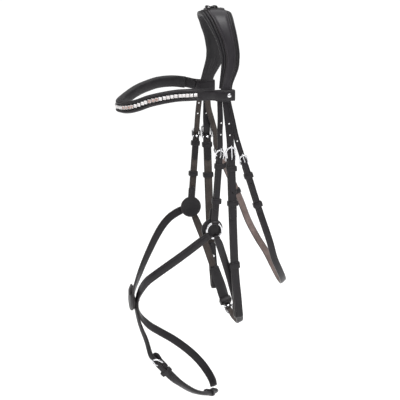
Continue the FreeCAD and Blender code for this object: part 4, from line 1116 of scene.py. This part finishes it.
chin_frame = make_frame((-94, -35, -507), (-0.66, 0.08, 0.745), (-0.5, -0.8, -0.33))


def ring_start(side, angle, width):
    """First station of a strap that leaves a ring at an angle from +X towards +Z."""
    radial = Vector((math.cos(angle), 0, math.sin(angle)))
    return (ring_centres[side] + radial * (RING_RADIUS + 2.2), Vector((0, side, 0)), width)


raised = strap_outline(NOSE_THIN, NOSE_RISE, RAISED_SEWN[0], 0.2)
near_line = smooth([ring_start(NEAR, NOSE_ANGLE[NEAR], NOSE_EYE)] + route(NEAR_NOSE), 5)
near_strap = sweep("near_raised_nose_strap", near_line, raised, LINED, "nose_straps")
far_rows = [ring_start(FAR, NOSE_ANGLE[FAR], NOSE_EYE)] + route(FAR_NOSE)
chin_billet = billet_line(chin_frame, SMALL_BUCKLE, NARROW, 28.0, SMALL_BUCKLE + 6)
far_line = smooth(far_rows[:12], 5)
far_strap = sweep("far_raised_nose_strap", far_line, raised, LINED, "nose_straps")
tail_line = rounded_tip(smooth(far_rows[10:] + chin_billet, 5), NARROW, TIP_REACH)
tail = sweep("far_nose_billet", tail_line, billet_outline, LINED)
punch(tail, [along(chin_frame, h, 3.0) for h in (HOLE_HEIGHT, HOLE_HEIGHT + 24)],
      facing(chin_frame))
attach(tail, "nose_straps")
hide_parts("near_nose_strap")
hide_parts("far_nose_strap")
for side, line in ((NEAR, near_line), (FAR, far_line)):
    stitch_rows(SIDES[side] + "_nose_stitches", line[2:-2], in_creases(*RAISED_SEWN),
                "nose_straps")
    ring_fold(SIDES[side] + "_nose_ring_fold", ring_centres[side], NOSE_ANGLE[side],
              NOSE_EYE - 0.6, "nose_straps")
print("nose straps made")

# %% Nose pad and rivet
disc_frame = make_frame((-125.6, 0, -416.5), (0.03, 0, 1), -X)
DISC_RADIUS = 17
DISC_PROFILE = [(2.5, 0.3, 0), (0.6, 0.1, 1), (0.0, 0.9, 1), (0.0, 2.2, 1), (0.7, 3.0, 1),
                (1.7, 3.1, 0), (2.3, 2.5, 0), (3.0, 3.1, 0), (6.0, 4.3, 0), (10.0, 5.0, 0),
                (13.0, 5.2, 0)]
disc = plate("nose_pad_disc", disc_frame, lambda inset: circle(DISC_RADIUS - inset, 48),
             DISC_PROFILE, [bridle_leather, edge_leather], "nose_straps")
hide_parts("nose_disc")
tab_line = rows_on(disc_frame, ((7, 4.6, 10), (13, 4.4, 11.5), (18, 2.6, 12), (21.5, 1.2, 11.5)))
sweep("nose_pad_tab", smooth(tab_line, 5), strap_outline(2.0, 0.3, 1.5, 0.25), STRAP,
      "nose_straps")
rivet = turned("nose_pad_rivet", disc_frame,
               [(1.6, 0.1), (1.6, -9.3), (4.0, -9.5), (3.9, -10.1), (3.0, -10.5), (1.0, -10.7)],
               "nose_straps")
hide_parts("nose_rivet")
print("nose pad made")

# %% [markdown]
# ## Chin strap
# A padded strap runs from the chin buckle back under the jaw. A round safe tab lies
# behind the buckle, and a leather loop joins the strap's end to the other nose strap.

# %% Chin strap
CHIN = [(-60.9, -36.5, -541.5, -0.3, -0.5, -0.8, 13), (-43.7, -28.5, -555.3, -0.15, -0.3, -0.93, 13),
        (-28.3, -17, -565, 0.0, -0.12, -1, 13), (-13.7, -2, -572.5, 0.1, 0.1, -1, 13),
        (-2, 13, -576.5, 0.15, 0.2, -1, 13), (5, 22, -578, 0.15, 0.25, -1, 12)]
CHIN_THICK, CHIN_WIDTH = 5.0, 13.0
chin_low = THICK - CHIN_THICK
chin_middle = (THICK + chin_low) / 2
chin_rows = rows_on(chin_frame, [(y, chin_middle, CHIN_WIDTH) for y in (-4, -18, -30)])
chin_line = smooth(chin_rows + route(CHIN), 5)
chin = sweep("chin_padded_strap", chin_line, padded_outline(CHIN_THICK), PADDED, "nose_straps")
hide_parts("chin_strap")
stitch_rows("chin_stitches", chin_line[1:-1], in_creases(2.0, 2.35), "nose_straps")
bar_fold("chin_fold", chin_frame, NARROW_FOLD, "nose_straps", chin_low + 1)
chin_keeper = buckled_keepers("chin", chin_frame, CHIN_WIDTH, 15.0, 0, "nose_straps", chin_low)
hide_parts("chin_fixed_keeper")
TAB_WIDTH = 12.5
tab = [(along(chin_frame, y, chin_low - drop, x), facing(chin_frame), TAB_WIDTH)
       for y, drop, x in ((-10.6, 1.4, 0), (2, 1.8, 0), (11, 2.6, 1.5))]
safe_tab = sweep("chin_safety_tab", rounded_tip(smooth(tab, 5), TAB_WIDTH, 6.0),
                 strap_outline(2.2, 0.2, 1.6, 0.3), STRAP, "nose_straps")
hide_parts("chin_safe_tab")
loop_frame = make_frame((-7.85, 5.5, -574.5), (0.6, 0.77, -0.21), (0.12, 0.15, -1))
end_loop = keeper("chin_joining_loop", loop_frame, 0, CHIN_WIDTH + 0.4, -3.15, 3.15, 8.0,
                  "nose_straps")
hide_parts("chin_end_loop")
print("chin strap made")

# %% [markdown]
# ## Jaw straps
# The near jaw strap passes behind the cheekpiece and under the jaw to a buckle on the
# far side, where a padded piece protects the jaw. The far strap hangs from its ring
# and is capped onto that pad.

# %% Jaw straps
NEAR_JAW = [(-11.8, -59.4, -326, 0, -1, 0, 10.5), (-7.6, -56.6, -337, 0, -1, 0, 10.5),
            (-2.6, -54.0, -351, 0, -1, 0, 10.5), (2.6, -51.5, -366, 0, -1, 0, 10.5),
            (7.6, -50.0, -382, 0, -1, 0, 10.5), (12.6, -47.5, -399, 0.05, -1, -0.05, 10.5),
            (19.5, -42.0, -421, 0.15, -0.95, -0.2, 10.5), (26.0, -34.0, -439, 0.25, -0.8, -0.5, 10.5),
            (31.0, -22.0, -454, 0.35, -0.5, -0.8, 10.5), (34.5, -8.0, -462, 0.4, -0.2, -0.9, 9.5),
            (35.5, 6.0, -464.5, 0.3, 0.1, -0.95, 9.0)]
FAR_JAW = [(-13.0, 59.0, -322, 0, 1, 0, 10.5), (-8.0, 56.0, -336, 0, 1, 0, 10.5),
           (-2.0, 52.5, -354, 0, 1, 0, 10.5), (4.5, 49.0, -375, 0, 1, 0, 10.5),
           (9.0, 46.6, -389.5, 0, 1, 0, 10.5)]
JAW_PAD = [(9.7, 46.4, -392, 0, 1, 0, 15), (14.5, 46.2, -405, 0.02, 1, 0, 15),
           (20.5, 46.6, -421, 0.05, 1, 0, 15)]
JAW_THICK, JAW_WIDTH, JAW_EYE = 6.0, 15.0, 8.5
JAW_ANGLE = math.radians(288)
jaw_frame = make_frame((30, 37, -450), (0.22, -0.72, -0.66), (0.15, 0.65, -0.7))
jaw_low = THICK - JAW_THICK
jaw_middle = (THICK + jaw_low) / 2
near_rows = [ring_start(NEAR, JAW_ANGLE, JAW_EYE)] + route(NEAR_JAW)
near_jaw_line = smooth(near_rows[:10], 5)
near_jaw = sweep("near_jaw_doubled_strap", near_jaw_line, doubled, STRAP, "jaw_straps")
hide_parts("near_jaw_strap")
jaw_tail = near_rows[8:] + billet_line(jaw_frame, SMALL_BUCKLE, NARROW, 18.0, SMALL_BUCKLE + 6)
jaw_billet = sweep("near_jaw_billet", rounded_tip(smooth(jaw_tail, 5), NARROW, TIP_REACH),
                   billet_outline, STRAP)
punch(jaw_billet, [along(jaw_frame, HOLE_HEIGHT, 3.0)], facing(jaw_frame))
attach(jaw_billet, "jaw_straps")
far_jaw_line = smooth([ring_start(FAR, JAW_ANGLE, JAW_EYE)] + route(FAR_JAW), 5)
far_jaw = sweep("far_jaw_doubled_strap", far_jaw_line, doubled, STRAP, "jaw_straps")
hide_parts("far_jaw_strap")
for side, line in ((NEAR, near_jaw_line), (FAR, far_jaw_line)):
    stitch_rows(SIDES[side] + "_jaw_stitches", line[1:-1], in_creases(*SEWN), "jaw_straps")
    ring_fold(SIDES[side] + "_jaw_ring_fold", ring_centres[side], JAW_ANGLE, JAW_EYE - 0.6,
              "jaw_straps")
pad_end = rows_on(jaw_frame, [(-16, jaw_middle, 15), (-4, jaw_middle, 13.5)])
jaw_line = smooth(route(JAW_PAD) + pad_end, 6)
jaw_pad = sweep("jaw_padded_strap", jaw_line, padded_outline(JAW_THICK), PADDED, "jaw_straps")
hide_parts("jaw_pad")
stitch_rows("jaw_pad_stitches", jaw_line[1:-1], in_creases(2.0, 2.85), "jaw_straps")
bar_fold("jaw_fold", jaw_frame, NARROW_FOLD, "jaw_straps", jaw_low + 2)
jaw_keeper = buckled_keepers("jaw", jaw_frame, JAW_WIDTH, 10.0, 0, "jaw_straps", jaw_low)
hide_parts("jaw_fixed_keeper")
print("jaw straps made")

# %% [markdown]
# ## Slots
# The record names four finishes that a user may recolour; no piece here is given one.

# %% [markdown]
# ## Floor, light and camera
# Tack is shown on a plain white sweep under large soft lamps, so that black leather
# keeps broad, quiet highlights. The bridle hangs in the air as if a head held it, and
# the floor lies just below. The camera sees the room as white paper, but the room
# lights the leather only a little, since the lamps do that.

# %% Floor
FLOOR_HALF, FLOOR_GAP = 30.0, 0.02
floor_z = cad_low.z - FLOOR_GAP
floor_mesh = bpy.data.meshes.new("floor")
floor_mesh.from_pydata([(x * FLOOR_HALF, y * FLOOR_HALF, floor_z)
                        for x, y in ((-1, -1), (1, -1), (1, 1), (-1, 1))], [], [(0, 1, 2, 3)])
floor_finish, floor_shader, _ = new_material("white_paper_floor", Roughness=0.9)
floor_tone = add_node(floor_finish, "ShaderNodeTexNoise", {"Scale": 3.0}).outputs["Fac"]
feed(floor_finish, floor_shader, Base_Color=mix(floor_finish, floor_tone, "#fafafa", "#ffffff"))
floor_mesh.materials.append(floor_finish)
floor = bpy.data.objects.new("floor", floor_mesh)
bpy.context.scene.collection.objects.link(floor)
print("floor at", round(floor_z, 3), "m")

# %% World and lamps
world = bpy.data.worlds.new("studio")
world.use_nodes = True
SEEN_WHITE, ROOM_LIGHT = 1.1, 0.16
rays = world.node_tree.nodes.new("ShaderNodeLightPath")
strength = world.node_tree.nodes.new("ShaderNodeMapRange")
strength.inputs["To Min"].default_value = ROOM_LIGHT
strength.inputs["To Max"].default_value = SEEN_WHITE
backdrop = world.node_tree.nodes["Background"]
backdrop.inputs["Color"].default_value = (1, 1, 1, 1)
world.node_tree.links.new(rays.outputs["Is Camera Ray"], strength.inputs["Value"])
world.node_tree.links.new(strength.outputs["Result"], backdrop.inputs["Strength"])
bpy.context.scene.world = world
bpy.context.scene.view_settings.view_transform = "Standard"
TARGET = Vector((-0.024, 0, -0.275))


def soft_lamp(name, place, size, power):
    """A square area lamp aimed at the bridle."""
    lamp = bpy.data.lights.new(name, "AREA")
    lamp.size, lamp.energy = size, power
    item = bpy.data.objects.new(name, lamp)
    item.location = place
    item.rotation_euler = (TARGET - Vector(place)).to_track_quat("-Z", "Y").to_euler()
    bpy.context.scene.collection.objects.link(item)


soft_lamp("overhead", (0.3, -0.9, 1.3), 0.8, 16)
soft_lamp("left_front", (-1.6, -1.4, 0.5), 0.6, 4)
soft_lamp("right_rear", (1.5, 0.9, 0.4), 0.6, 4)
sky = bpy.data.lights.new("wide_sky_panel", "SUN")
sky.energy, sky.angle = 3.0, math.radians(110)
sky_item = bpy.data.objects.new("wide_sky_panel", sky)
bpy.context.scene.collection.objects.link(sky_item)
print("lamps", [light.name for light in bpy.data.lights])

# %% Camera
camera_data = bpy.data.cameras.new("camera")
camera_data.lens, camera_data.sensor_width = 124.1, 36.0
camera = bpy.data.objects.new("camera", camera_data)
camera.location = (-0.528, -1.882, 0.175)
camera.rotation_euler = (TARGET - camera.location).to_track_quat("-Z", "Y").to_euler()
bpy.context.scene.collection.objects.link(camera)
bpy.context.scene.camera = camera
print("camera at", tuple(round(c, 3) for c in camera.location))

# %% Sizes and finish
print("CAD box", [round(c, 4) for c in cad_high - cad_low])
